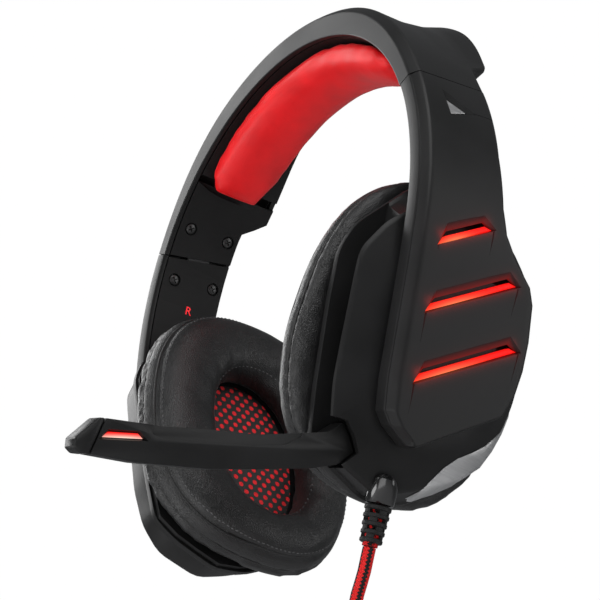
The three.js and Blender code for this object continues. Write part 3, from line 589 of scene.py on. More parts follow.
def side_deg(deg):
    return min(deg, 180 - deg)


def band_back(deg):
    a = side_deg(deg)
    return BACK + 8 * smooth(a, 34.5, 40) - 4.5 * smooth(a, 43, 74)


def horn_rise(deg):
    a = side_deg(deg)
    return 5.6 * smooth(a, 35, 55) * (1 - smooth(a, 57, 84))


def band_outer(deg):
    return BAND_RADIUS + CROWN_RISE * smooth(side_deg(deg), SEAM_DEG, 65)


def rear_edge(deg, r):
    outer = band_outer(deg)
    return band_back(deg) - REAR_SLANT * (outer - r) / (outer - BAND_RADIUS + BAND_DEPTH)


def slanted(deg, y):
    fade = 1 - smooth(side_deg(deg), SEAM_DEG, SEAM_DEG + 12)
    lift = SEAM_SLANT_DEG * fade * (y - FRONT) / (BACK - FRONT)
    return deg + lift if deg < 90 else deg - lift


def band_section(deg):
    back, rise, outer = band_back(deg), horn_rise(deg), band_outer(deg)
    inner = BAND_RADIUS - BAND_DEPTH
    wall_end = inner + COVER_THICKNESS + GAP

    def across(u):
        return FRONT + (back - FRONT) * u

    corners = [
        ((outer + rise, back - 0.9), 0.9), ((outer + rise * 0.42, across(0.74)), 2.5),
        ((outer + rise * 0.05, across(0.4)), 3), ((outer, FRONT + CHAMFER_WIDTH), 0.8),
        ((outer - CHAMFER_DEPTH, FRONT), 0.7), ((inner, FRONT), 0.5), ((inner, FRONT + WALL), 0.3),
        ((outer - SKIN, FRONT + WALL), 0.3), ((outer - SKIN, rear_edge(deg, outer - SKIN) - WALL), 0.3),
        ((wall_end, rear_edge(deg, wall_end) - WALL), 0.3), ((wall_end, rear_edge(deg, wall_end)), 0.5),
        ((outer + rise - 1.1, back), 0.8)]
    return rounded(*zip(*corners))


def band_shell():
    degs = [SEAM_DEG + 0.12, *steps(SEAM_DEG + 1.2, 180 - SEAM_DEG - 1.2, 130), 180 - SEAM_DEG - 0.12]
    rings = [[on_band(r, y, slanted(deg, y)) for r, y in band_section(deg)] for deg in degs]
    shell = solid("headband_shell", lofted(rings), BLACK, smooth_deg=28)
    shell.modifiers.new("shading", "WEIGHTED_NORMAL").keep_sharp = True
    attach(shell, "headband")
    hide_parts("headband_outer_shell")


band_shell()

# ---- arms ----

ARM_END = 119.8
ARM_FRONT = [(0, FRONT), (60, FRONT), (103, -24.8), (112, -23.5), (115.5, -20.5), (119.8, -13.5)]
ARM_BACK = [(0, BACK), (24, 2), (42, 3.4), (50, 5.4), (57, 10), (63, 16.4), (68, 18.6), (79, 19.9),
            (88, 19.9), (96.5, 18.7), (103, 16.2), (119.8, -11)]
LIGHT_SLOTS = [(-10.2, 54.2, 22), (-4, 71.5, 35), (-1, 91.3, 39)]     # middle y, t and length
SLOT_HEIGHT, SLOT_DEG = 3.2, 30
BADGE = [(-16.6, 7.6), (-8.6, 10.4), (-15.6, 13.8)]                   # corners y, t
BADGE_MOUTH = [(-17.6, 4.0), (-5.4, 10.2), (-15.9, 14.7)]             # its sloped recess at the surface
ARM_SCREWS = [(-20.6, 8), (-4.9, 6.5)]
ACROSS = 30                                                           # points across the outer face


def arm_section(t):
    y0, y1 = along(ARM_FRONT, t), along(ARM_BACK, t)
    wide = y1 - y0
    slant = REAR_SLANT / ARM_DEPTH * (1 - smooth(t, 44, 58))

    def rear(depth):
        return y1 - slant * depth

    wall = min(WALL, wide * 0.3)
    wall_end = mix(ARM_INNER_DEPTH - GAP, ARM_DEPTH, smooth(t, 44, 58))
    width = min(CHAMFER_WIDTH, wide * 0.4)
    floor = SKIN if t < 116 else ARM_DEPTH - 0.6
    corners = [
        ((1.1, rear(1.1)), 0.5), ((wall_end, rear(wall_end)), 0.5), ((wall_end, rear(wall_end) - wall), 0.2),
        ((floor, rear(floor) - wall), 0.2), ((floor, y0 + wall), 0.2), ((ARM_DEPTH, y0 + wall), 0.2),
        ((ARM_DEPTH, y0), 0.5), ((CHAMFER_DEPTH, y0), 0.6)]
    outer = [(0.0, mix(y0 + width + 0.5, y1 - 1.5, i / ACROSS)) for i in range(ACROSS + 1)]
    front = [(0.55, y0 + width - 0.55), (0.12, y0 + width - 0.02)]
    back = [(0.08, y1 - 0.95), (0.35, y1 - 0.45)]
    return [Vector(p) for p in [*front, *outer, *back]] + rounded(*zip(*corners), 3)


def arm_point(depth, y, t):
    slant = BAND_RADIUS * math.radians(SEAM_SLANT_DEG)
    fade = 1 - smooth(t, 0.4, 18.4)
    return on_arm(depth, y, t - slant * fade * (y - FRONT) / (BACK - FRONT))


def bar_points(length, height, trim):
    half = length / 2 - trim
    return [(-half, -height / 2), (half, -height / 2), (half - height * 0.8, height / 2),
            (-half + height * 1.5, height / 2)]


def bar_frame(y, t):
    return arm_frame(y, t) @ Matrix.Rotation(math.radians(SLOT_DEG), 4, "X")


def funnel(name, outlines, matrix, right):
    """A closed cutter through flat outlines: (depth, points) from outside in."""
    rings = [[matrix @ Vector((-depth, y, v)) for y, v in points] for depth, points in outlines]
    return solid(name, lofted(rings), right=right)


def grown(points, by):
    """The outline with its sides moved out."""
    made, n = [], len(points)
    area = sum(points[i - 1][0] * points[i][1] - points[i][0] * points[i - 1][1] for i in range(n))
    sign = 1 if area > 0 else -1
    for i, p in enumerate(points):
        p, a, b = Vector(p), Vector(points[i - 1]), Vector(points[(i + 1) % n])
        u, w = (p - a).normalized(), (b - p).normalized()
        n1, n2 = Vector((u.y, -u.x)) * sign, Vector((w.y, -w.x)) * sign
        bisector = (n1 + n2).normalized()
        made.append(tuple(p + bisector * by / max(bisector.dot(n1), 0.35)))
    return made


def slot_cutter(slot, right):
    y, t, length = slot
    opening = bar_points(length, SLOT_HEIGHT, 0)
    brow = [(a + (0.5 if v > 0 else 0), v + (1.8 if v > 0 else 0)) for a, v in grown(opening, 0.3)]
    return funnel("slot_cutter", [(-1.1, brow), (0.05, brow), (1.25, opening), (SKIN + 1.1, opening)],
                  bar_frame(y, t), right)


def badge_outline(grow):
    cy, ct = (sum(c[k] for c in BADGE) / 3 for k in (0, 1))
    return grown([(y - cy, ct - t) for y, t in BADGE], grow), arm_frame(cy, ct)


def badge_cutter(right):
    outline, matrix = badge_outline(0)
    cy, ct = (sum(c[k] for c in BADGE) / 3 for k in (0, 1))
    mouth = [(y - cy, ct - t) for y, t in BADGE_MOUTH]
    return funnel("badge_cutter", [(-1, grown(mouth, 0.5)), (0, mouth), (1.2, grown(outline, 0.1)),
                                   (SKIN + 1, outline)], matrix, right)


def parting_cutter(right):
    """The thin joint line from the badge to the arm's back edge."""
    rings = [[on_arm(-0.4 + 0.75 * deep, y, t + w) for deep, w in ((0, -0.28), (0, 0.28), (1, 0))]
             for y, t in ((-6.6, 9.9), (3.5, 8.6))]
    return solid("parting_cutter", lofted(rings), right=right)


def crease_cutter(slot, end, right):
    """A shallow V groove that runs down from one end of a light slot."""
    y, t, length = slot
    matrix = bar_frame(y, t)
    x = (length / 2 - 0.2) * end
    lean = -0.5 if end < 0 else -0.62
    a, b = Vector((x, -1.4)), Vector((x + lean * 9, -9.6))
    side = Vector((-(b - a).y, (b - a).x)).normalized()
    rings = []
    for p, w in ((a, 0.34), (b, 0.05)):
        groove = ((0.3, -w * 1.6), (0.3, w * 1.6), (-w * 1.5, 0))
        rings.append([matrix @ Vector((o, *(p + side * s))) for o, s in groove])
    return solid("crease_cutter", lofted(rings), right=right)


def distance_to_bar(point, matrix_inverse, length):
    local = matrix_inverse @ point
    dy = max(abs(local.y) - (length / 2 - 1.5), 0)
    dv = max(abs(local.z) - SLOT_HEIGHT / 2, 0)
    return math.hypot(dy, dv) + max(-local.x - 3.5, 0) * 3


def add_painted_glow(obj, right):
    """Stores how strongly the lit bars shine on each point of the shell, as a painted glow: emission that
    stands in for their light on it.
    """
    layer = obj.data.attributes.new("glow", "FLOAT", "POINT")
    frames = [(bar_frame(y, t).inverted(), length) for y, t, length in LIGHT_SLOTS]
    for i, v in enumerate(obj.data.vertices):
        p = in_mm(v.co, right)
        near = min(distance_to_bar(p, m, length) for m, length in frames)
        # painted glow: a bright halo close to the bars and a faint wide one
        layer.data[i].value = 0.28 * math.exp(-near / 0.7) + 0.012 * math.exp(-near / 3.0)


def arm_shell(right):
    side = "right" if right else "left"
    knots = [t for t, _ in ARM_FRONT + ARM_BACK if t > 1]
    ts = sorted({*steps(0.2, ARM_END, 110), *knots, 115.9, 116.1})
    rings = [[arm_point(depth, y, t) for depth, y in arm_section(t)] for t in ts]
    shell = solid(f"{side}_arm_shell", lofted(rings), BLACK, right)
    cutters = [slot_cutter(slot, right) for slot in LIGHT_SLOTS]
    cutters += [badge_cutter(right), parting_cutter(right)]
    cutters += [crease_cutter(slot, end, right) for slot in LIGHT_SLOTS for end in (-1, 1)]
    cut(shell, cutters)
    soften(shell, 28)
    add_painted_glow(shell, right)
    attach(shell, f"arm_{side}")
    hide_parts(f"{side}_arm_outer_shell")
    # a dark lip closes the joint to the headband
    rings = [[arm_point(min(max(depth, 0.8), ARM_DEPTH - 0.8), min(max(y, FRONT + 0.8), BACK - 0.8), t)
              for depth, y in arm_section(0.2)] for t in (-0.12, 1.2)]
    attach(solid(f"{side}_arm_lip", lofted(rings), COVER, right), f"arm_{side}")


def measure_bar(bar, matrix, outline, right, slope=0.0):
    """Write how far each vertex is along the bar (front end 1) and up it (top edge 1)."""
    inverse = matrix.inverted()
    outline = [(y, v - y * slope) for y, v in outline]
    for name, k in (("along", 0), ("up", 1)):
        layer = bar.data.attributes.new(name, "FLOAT", "POINT")
        low, high = min(p[k] for p in outline), max(p[k] for p in outline)
        for i, v in enumerate(bar.data.vertices):
            _, y, up = inverse @ in_mm(v.co, right)
            share = ((y, up - y * slope)[k] - low) / (high - low)
            layer.data[i].value = 1 - share if k == 0 else share


def light_bars(right):
    side = "right" if right else "left"
    for i, (y, t, length) in enumerate(LIGHT_SLOTS):
        outline = [(a, v if v < 0 else v - 1.1) for a, v in bar_points(length, SLOT_HEIGHT - 0.4, 0.2)]
        rings = [[bar_frame(y, t) @ Vector((-depth, a, v)) for a, v in grown(outline, g)]
                 for depth, g in ((3.4, 0), (1.5, 0), (1.25, -0.2), (1.15, -0.5))]
        bar = solid(f"{side}_light_bar_{i + 1}", lofted(rings), GLOW, right)
        measure_bar(bar, bar_frame(y, t), outline, right)
        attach(bar, f"arm_{side}")
        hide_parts(f"{side}_light_guide_{i + 1}")


def badge_insert(right):
    side = "right" if right else "left"
    outline, matrix = badge_outline(-0.15)
    rings = [[matrix @ Vector((-depth, a, v)) for a, v in grown(outline, g)]
             for depth, g in ((2, 0), (0.95, 0), (0.75, -0.2))]
    insert = solid(f"{side}_badge_insert", lofted(rings), SILVER, right)
    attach(insert, f"arm_{side}")
    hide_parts(f"{side}_arm_badge")


for on_right in (False, True):
    arm_shell(on_right)
    light_bars(on_right)
    badge_insert(on_right)

# ---- screws and side marks ----


def screw_head(name, matrix, body, node, right):
    """A pan head with a cross recess, over the CAD screw's own place."""
    profile = [(1.1, 0.2), (1.75, 0.45), (2.0, 0.9), (2.0, 1.3), (0.85, 1.4), (0.85, 4.1)]
    rings = [[matrix @ Vector((x, r * math.cos(a), r * math.sin(a))) for a in circle(28)] for r, x in profile]
    head = solid(name, lofted(rings), SCREW, right)
    cutters = []
    for spin_deg in (35, 125):
        arm = [(-1.15, -0.22), (1.15, -0.22), (1.15, 0.22), (-1.15, 0.22)]
        spin = matrix @ Matrix.Rotation(math.radians(spin_deg), 4, "X")
        cutters.append(solid("cross", slab(arm, -0.5, 0.95, spin), right=right))
    cut(head, cutters)
    soften(head, 35)
    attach(head, body)
    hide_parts(node)


def side_mark(letter, right):
    curve = bpy.data.curves.new(f"side_mark_{letter}", "FONT")
    curve.body, curve.size, curve.extrude = letter, 4.3 * MM, 0.05 * MM
    curve.align_x = curve.align_y = "CENTER"
    text = linked(f"side_mark_{letter}", curve)
    mesh = baked(text)
    bpy.data.objects.remove(text)
    obj = linked(f"side_mark_{letter}", mesh)
    mesh.materials.clear()
    mesh.materials.append(MARK)
    t = 18.2
    place = on_arm(ARM_DEPTH + 0.06, -12.5, t)
    a = math.radians(arm_deg(t))
    inward, up = Vector((-math.cos(a), 0, -math.sin(a))), Vector((-math.sin(a), 0, math.cos(a)))
    if right:
        place.x, inward.x, up.x = -place.x, -inward.x, -up.x
    across = up.cross(inward)
    matrix = Matrix((across, up, inward)).transposed().to_4x4()
    matrix.translation = place * MM
    mesh.transform(matrix)
    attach(obj, "arm_right" if right else "arm_left")


for on_right in (False, True):
    side = "right" if on_right else "left"
    for i, y in enumerate((-20.5, -4.9)):
        place = band_frame(y, 31.5) @ Matrix.Translation((BAND_RADIUS - BAND_DEPTH, 0, 0))
        node = f"{side}_slider_cover_screw_{i + 1}"
        screw_head(f"{side}_cover_screw_head_{i + 1}", place, "headband", node, on_right)
    for i, (y, t) in enumerate(ARM_SCREWS):
        place = arm_frame(y, t) @ Matrix.Translation((-ARM_DEPTH, 0, 0))
        node = f"{side}_arm_screw_{i + 1}"
        screw_head(f"{side}_arm_screw_head_{i + 1}", place, f"arm_{side}", node, on_right)
side_mark("L", False)
side_mark("R", True)

# ---- cup housings ----

RIM = [(-19, 46.5), (-35.5, 29), (-39, 20), (-38.5, 4), (-36.5, -20), (-34.3, -36.4), (-27, -42.5),
       (-13, -49), (-1, -47.5), (8, -43), (19, -35.5), (27, -26), (31, -15), (33.5, 0), (33, 16), (28, 32),
       (18, 42), (5, 47), (-8, 48)]
SHOULDER = [(-17, 42), (-30, 31), (-37, 20), (-37, 13), (-36.5, -6), (-36, -20), (-33.5, -33), (-28, -42),
            (-14, -47.5), (-3, -44), (5, -40.5), (14, -35.5), (21, -29), (25, -20), (27.5, -8), (28, 4),
            (27, 17), (23, 30), (15, 38), (4, 42), (-8, 43)]
FACE = [(-14, 33), (-26, 22), (-30, 8), (-28, -18), (-22, -31), (-11, -37), (0, -35), (12, -28), (19, -14),
        (21, 4), (18, 20), (8, 31)]
CUP_MIDDLE = (-4, -1)
SPOKES = 120
ROOT_WINDOW = [(-23.1, -37.4), (-25.7, -33.2), (-29, -29.5), (-60, -29.5), (-60, -60), (-36, -46.2),
               (-27.8, -42.8)]


def softened(outline):
    """The outline with its corners cut by short curves."""
    return [tuple(p) for p in rounded(outline, [3.2] * len(outline), 7)]


def spokes(outline, inset):
    """The outline resampled along equally spaced spokes from the middle of the cup."""
    cy, cv = CUP_MIDDLE
    made = []
    for a in circle(SPOKES):
        dy, dv = math.cos(a), math.sin(a)
        reach = 0
        for (y0, v0), (y1, v1) in zip(outline, outline[1:] + outline[:1]):
            ey, ev = y1 - y0, v1 - v0
            cross = dy * ev - dv * ey
            if abs(cross) < 1e-12:
                continue
            s = ((y0 - cy) * ev - (v0 - cv) * ey) / cross
            u = ((y0 - cy) * dv - (v0 - cv) * dy) / cross
            if s > 0 and -1e-6 < u < 1 + 1e-6:
                reach = max(reach, s)
        made.append((cy + (reach - inset) * dy, cv + (reach - inset) * dv))
    return made


OUTLINES = {"rim": softened(RIM), "shoulder": softened(SHOULDER), "face": softened(FACE)}


# Heights, outlines and insets of the housing's outside
CUP_LEVELS = [(1.5, "rim", 0), (2.9, "rim", 0), (3.3, "rim", 0.15), (3.8, "rim", 0.7), (4.1, "rim", 1.1),
              (10.2, "shoulder", 0), (10.8, "shoulder", 0.15), (11.4, "shoulder", 0.7),
              (11.8, "shoulder", 1.6), (13.2, "face", -0.4), (13.8, "face", 1), (14.6, "face", 6),
              (15, "face", 14)]


def box_cutter(low, high, right=False):
    (x0, y0, z0), (x1, y1, z1) = low, high
    return solid("box_cutter", slab([(y0, z0), (y1, z0), (y1, z1), (y0, z1)], x0, x1, CUP), right=right)


def disc_cutter(y, v, radius, o0, o1):
    outline = [(y + radius * math.cos(a), v + radius * math.sin(a)) for a in circle(40)]
    return solid("disc_cutter", slab(outline, o0, o1, CUP))


def raised_accent(right):
    """The silver accent: the CAD piece's own shape, standing a little proud of the flank."""
    side = "right" if right else "left"
    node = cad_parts[f"{side}_cup_accent"]
    mesh = bmesh.new()
    mesh.from_mesh(node.data)
    bmesh.ops.remove_doubles(mesh, verts=mesh.verts, dist=1e-5)
    mesh.normal_update()
    mesh.verts.index_update()
    place = node.matrix_world
    points = [(place @ v.co) / MM + (place.to_3x3() @ v.normal).normalized() * 0.25 for v in mesh.verts]
    faces = [tuple(v.index for v in f.verts) for f in mesh.faces]
    mesh.free()
    accent = make_object(f"{side}_accent", points, faces, SILVER, 30)
    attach(accent, f"cup_{side}")
    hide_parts(f"{side}_cup_accent")


def cup_shell(right):
    side = "right" if right else "left"
    rings = [[on_cup(o, y, v) for y, v in spokes(OUTLINES[name], inset)] for o, name, inset in CUP_LEVELS]
    shell = solid(f"{side}_cup_shell", lofted(rings), HOUSING, right)
    cutters = [box_cutter((8.2, -6, -7), (30, 6, 7), right)]
    if not right:
        cutters += [
            box_cutter((CHANNEL_O[0], -70, PIVOT_V), (CHANNEL_O[1], CHANNEL_Y, 70)),
            disc_cutter(PIVOT_Y, PIVOT_V, 7.6, *CHANNEL_O),
            solid("window", slab(ROOT_WINDOW, CHANNEL_O[1] - 0.5, 30, CUP))]
    cut(shell, cutters)
    soften(shell, 24)
    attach(shell, f"cup_{side}")
    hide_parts(f"{side}_cup_housing")
    raised_accent(right)


cup_shell(False)
cup_shell(True)

# ---- microphone ----

BOOM_OUTLINE = [(-23.6, -37.3), (-26, -33.6), (-29, -30.2), (-33, -34), (-40, -36.3), (-55, -41),
                (-71, -44), (-84, -47), (-100.8, -49.6), (-102.8, -60), (-89, -58.5), (-68, -54.5),
                (-53, -50.5), (-36, -45.5), (-28, -42.2)]
TIP_OUTLINE = [(-101.15, -49.6), (-103, -50), (-108.2, -57), (-107.8, -59.6), (-106, -60.6), (-103.15, -60.1)]
BOOM_LIGHT = [(-100.2, -54.6), (-99, -52.8), (-90.6, -50.9), (-88.8, -51.9)]
BOOM_STEP = [(-40, -34), (-41.5, -38.2), (-46, -41.4), (-55, -44.4), (-71, -47.9), (-83.5, -50.4),
             (-86.5, -49.9), (-88, -46), (-84, -44), (-60, -38)]


def boom():
    shell = solid("mic_boom_body", slab(BOOM_OUTLINE, *BOOM_O, CUP), HOUSING)
    step = solid("step", slab(BOOM_STEP, BOOM_O[1] - 0.75, BOOM_O[1] + 2, CUP))
    lit = grown(BOOM_LIGHT, 0.35)
    window = funnel("window", [(-BOOM_O[1] - 1, grown(lit, 0.9)), (-BOOM_O[1], grown(lit, 0.3)),
                               (-BOOM_O[1] + 0.8, lit), (-BOOM_O[1] + 1.6, lit)], CUP, False)
    cut(shell, [step, window])
    bevel(shell, 0.5, 3, 30)
    apply_modifiers(shell)
    soften(shell, 30)
    tip = solid("mic_boom_tip", slab(TIP_OUTLINE, *BOOM_O, CUP), HOUSING)
    bevel(tip, 0.5, 3, 25)
    apply_modifiers(tip)
    soften(tip, 40)
    bar = funnel("mic_light_bar", [(-BOOM_O[1] + 1.5, BOOM_LIGHT), (-BOOM_O[1] + 0.7, BOOM_LIGHT),
                                   (-BOOM_O[1] + 0.45, grown(BOOM_LIGHT, -0.2))], CUP, False)
    bar.data.materials.append(MIC_GLOW)
    measure_bar(bar, CUP, BOOM_LIGHT, False, 0.237)
    for obj, node, slot_name in ((shell, "mic_boom_shell", "black_plastic"),
                                 (tip, "mic_tip_cap", "black_plastic"),
                                 (bar, "mic_light_guide", "red_light")):
        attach(obj, "mic_boom")
        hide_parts(node)


boom()

# ---- cable gland and strain relief ----

RELIEF_TOP, RELIEF_END, RIBS = -49.75, -61.6, 5


def by_cable(radius, angle, v):
    """A point round the cable's way out of the cup."""
    return on_cup(CABLE_O + radius * math.cos(angle), CABLE_Y + radius * math.sin(angle), v)


def ring_at(radius, v, sides=32):
    return [by_cable(radius, a, v) for a in circle(sides)]


def gland():
    """A domed sleeve that leans out of the housing toward its top."""
    profile = [(3.4, -49.4), (4.1, -49.3), (4.4, -48.7), (4.5, -47), (4.5, -46), (4.4, -44.2), (3.9, -42.6),
               (2.8, -41.5), (1.2, -41.0)]
    lean, bottom = on_cup(0.42, -0.24, 0) - on_cup(0, 0, 0), profile[0][1]
    rings = [[p + lean * (v - bottom) for p in ring_at(r, v)] for r, v in profile]
    obj = solid("cable_gland_sleeve", lofted(rings), GLOSS)
    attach(obj, "cup_left")
    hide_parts("cable_gland")


def relief():
    """Ribs on a core, joined by staggered webs with slots between them that show the red sleeve."""
    rings = [ring_at(2.3, v) for v in steps(RELIEF_TOP, RELIEF_END, 12)]
    core = solid("strain_relief_core", lofted(rings), BRAID)
    sides = len(rings[0])
    map_uv(core, lambda vert, _: (vert % sides / sides * 2 * math.pi, vert // sides))
    pitch = (RELIEF_TOP - RELIEF_END) / RIBS
    parts = []
    for i in range(RIBS):
        top, radius = RELIEF_TOP - i * pitch, 4.0 - 0.15 * i
        profile = [(2.2, top), (radius - 0.3, top), (radius, top - 0.3), (radius, top - pitch * 0.48),
                   (radius - 0.3, top - pitch * 0.58), (2.2, top - pitch * 0.58)]
        rings = [ring_at(r, v, 40) for r, v in profile]
        parts.append(lofted([list(r) for r in zip(*rings)], closed=True))
        for side in range(4):
            a = side * math.pi / 2 + (math.pi / 4 if i % 2 else 0)
            arc = [a + d for d in steps(-0.36, 0.36, 6)]
            rings = [[by_cable(r, b, v)
                      for r, v in ((2.2, top - pitch * 0.5), (radius - 0.35, top - pitch * 0.5),
                                   (radius - 0.35, top - pitch * 1.06), (2.2, top - pitch * 1.06))]
                     for b in arc]
            if i < RIBS - 1:
                parts.append(lofted(rings))
    obj = solid("strain_relief_ribs", joined(parts), RUBBER, smooth_deg=40)
    for piece, slot_name in ((obj, "black_rubber"), (core, "red_black_braid")):
        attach(piece, "cup_left")
    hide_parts("cable_strain_relief")


gland()
relief()

# ---- speaker mesh ----

HOLE = {"y": 1.0, "v": -1.5, "half_y": 18.0, "half_v": 29.0, "power": 2.2, "lean": 0.0}
CUSHION = {"y": -3.0, "v": 2.0, "half_y": 39.5, "half_v": 50.0, "power": 2.4, "lean": -7.0}


def super_oval(shape, angle, grow=0.0):
    c, s = math.cos(angle), math.sin(angle)
    reach = (abs(c) ** shape["power"] + abs(s) ** shape["power"]) ** (-1 / shape["power"])
    dy, dv = (shape["half_y"] + grow) * reach * c, (shape["half_v"] + grow) * reach * s
    a = math.radians(shape["lean"])
    return shape["y"] + dy * math.cos(a) - dv * math.sin(a), shape["v"] + dy * math.sin(a) + dv * math.cos(a)


def speaker_mesh(right):
    side = "right" if right else "left"
    rings = []
    for f in (0.999, 0.995, 0.9, 0.75, 0.6, 0.45, 0.3, 0.15, 0.02):
        edge = [super_oval(HOLE, a, 0.9) for a in circle(72)]
        height = -0.6 if not rings else -0.8 - 0.5 * (1 - f * f)
        rings.append([on_cup(height, mix(HOLE["y"], y, f), mix(HOLE["v"], v, f)) for y, v in edge])
    obj = solid(f"{side}_speaker_mesh", lofted(rings), CLOTH, right, 60)
    inverse = CUP.inverted()

    def flat(vert, _):
        local = inverse @ in_mm(obj.data.vertices[vert].co, right)
        return local.y + 100, local.z + 100

    map_uv(obj, flat)
    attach(obj, f"cup_{side}")
    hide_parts(f"{side}_driver_mesh")


speaker_mesh(False)
speaker_mesh(True)

# ---- soft goods ----


def inflate(obj, voxel, pressure, cap, frames=20):
    """Swells a closed form by cloth simulation, with each point moved at most cap mm."""
    remesh = obj.modifiers.new("voxels", "REMESH")
    remesh.mode, remesh.voxel_size = "VOXEL", voxel * MM
    apply_modifiers(obj)
    start = np.array([v.co[:] for v in obj.data.vertices])
    cloth = obj.modifiers.new("cloth", "CLOTH")
    cloth.settings.use_pressure = True
    cloth.settings.uniform_pressure_force = pressure
    cloth.settings.effector_weights.gravity = 0
    cloth.settings.quality = 5
    cloth.settings.tension_stiffness = cloth.settings.compression_stiffness = 25
    cloth.settings.bending_stiffness = 2
    cloth.point_cache.frame_end = frames
    scene = bpy.context.scene
    for f in range(1, frames + 1):
        scene.frame_set(f)
    apply_modifiers(obj)
    scene.frame_set(1)
    end = np.array([v.co[:] for v in obj.data.vertices])
    move = end - start
    size = np.linalg.norm(move, axis=1, keepdims=True)
    end = start + move * np.minimum(1, cap * MM / np.maximum(size, 1e-9))
    obj.data.vertices.foreach_set("co", end.ravel())
    sub = obj.modifiers.new("smooth", "SUBSURF")
    sub.levels = sub.render_levels = 1
    apply_modifiers(obj)
    soften(obj, 180)


PAD_Y, PAD_HALF_WIDTH, PAD_THICKNESS, PAD_HALF_DEG = -11.6, 12.9, 10.1, 46.1


def head_pad():
    """A crowned pad on the band's inner face, thinner and narrower toward its ends."""
    r = BAND_RADIUS - BAND_DEPTH - GAP

    def section(deg):
        end = math.sqrt(max(0.0, 1 - abs((deg - 90) / (PAD_HALF_DEG + 1.4)) ** 6))
        half, t = PAD_HALF_WIDTH * (0.5 + 0.5 * end), PAD_THICKNESS * (0.3 + 0.7 * end)
        arc = [(r - 1.2 - (t - 1.2) * math.sin(a) ** 0.55, PAD_Y + half * math.cos(a))
               for a in steps(0.001, math.pi - 0.001, 22)]
        return [(r - 0.3, PAD_Y + half * 0.9), *arc, (r - 0.3, PAD_Y - half * 0.9)]

    rings = [[on_band(radius, y, slanted(deg, y)) for radius, y in section(deg)]
             for deg in steps(90 - PAD_HALF_DEG, 90 + PAD_HALF_DEG, 70)]
    pad = solid("head_pad_cover", lofted(rings), RED_HIDE)
    inflate(pad, 3.2, 3.0, 1.0)
    for v in pad.data.vertices:
        radius = math.hypot(v.co.x, v.co.z - BAND_CENTRE_Z * MM)
        if radius > r * MM:
            scale = r * MM / radius
            v.co.x *= scale
            v.co.z = BAND_CENTRE_Z * MM + (v.co.z - BAND_CENTRE_Z * MM) * scale
    pad.data.update()
    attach(pad, "headband")
    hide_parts("head_pad")


SEAMS = ((0.985, -5.4), (0.95, -10.7))     # share of the way out, and o, of the two seams round the side


def cushion_profile(right):
    """Shares of the way out from the hole, with o; the right cushion's outer edge is rounder."""
    inner = [(0.06, -1.0), (0.02, -4), (0.0, -7.5), (0.06, -11), (0.16, -13.2), (0.3, -14.2), (0.46, -14.4)]
    if right:
        outer = [(0.6, -14.2), (0.72, -13.5), (0.80, -12.5), (0.845, -11.2), (0.90, -9.4), (0.945, -7.6),
                 (0.965, -6.4)]
    else:
        outer = [(0.62, -13.9), (0.76, -13.0), (0.88, -11.9), (0.945, -10.7), (0.965, -9.2), (0.975, -7.6),
                 (0.98, -6.4)]
    base = [(0.982, -5.4), (0.99, -4.2), (0.985, -2.4), (0.95, -1.2), (0.8, -0.8), (0.4, -0.8)]
    return inner + outer + base


def cushion_point(right, angle, f, o):
    """A point of the cover; the faces lie pressed a little back on the right and forward on the left."""
    hy, hv = super_oval(HOLE, angle)
    ry, rv = super_oval(CUSHION, angle)
    if right:
        corner = max(0.0, math.cos(angle - math.radians(-50))) ** 3
        ry, rv = ry + 3.2 * corner, rv - 2.0 * corner
        lean = max(0.0, -o / 14.4)
        hy, ry = hy + 2.2 * lean, ry + 1.2 * lean
        hv, rv = hv + 0.8 * lean, rv + 0.3 * lean
        o *= 1 + 0.12 * lean
    else:
        ry -= 2.0 * max(0.0, -o / 14.4)
    return on_cup(o, hy + (ry - hy) * f, hv + (rv - hv) * f)


def laid_on(tree, points, right, lift):
    """The points moved to the nearest place on the cover, and then out by lift."""
    mirror, made = -1 if right else 1, []
    for p in points:
        near, normal, _, _ = tree.find_nearest(to_mesh(p, right))
        near = near / MM + normal * lift
        made.append(Vector((near.x * mirror, near.y, near.z)))
    return made


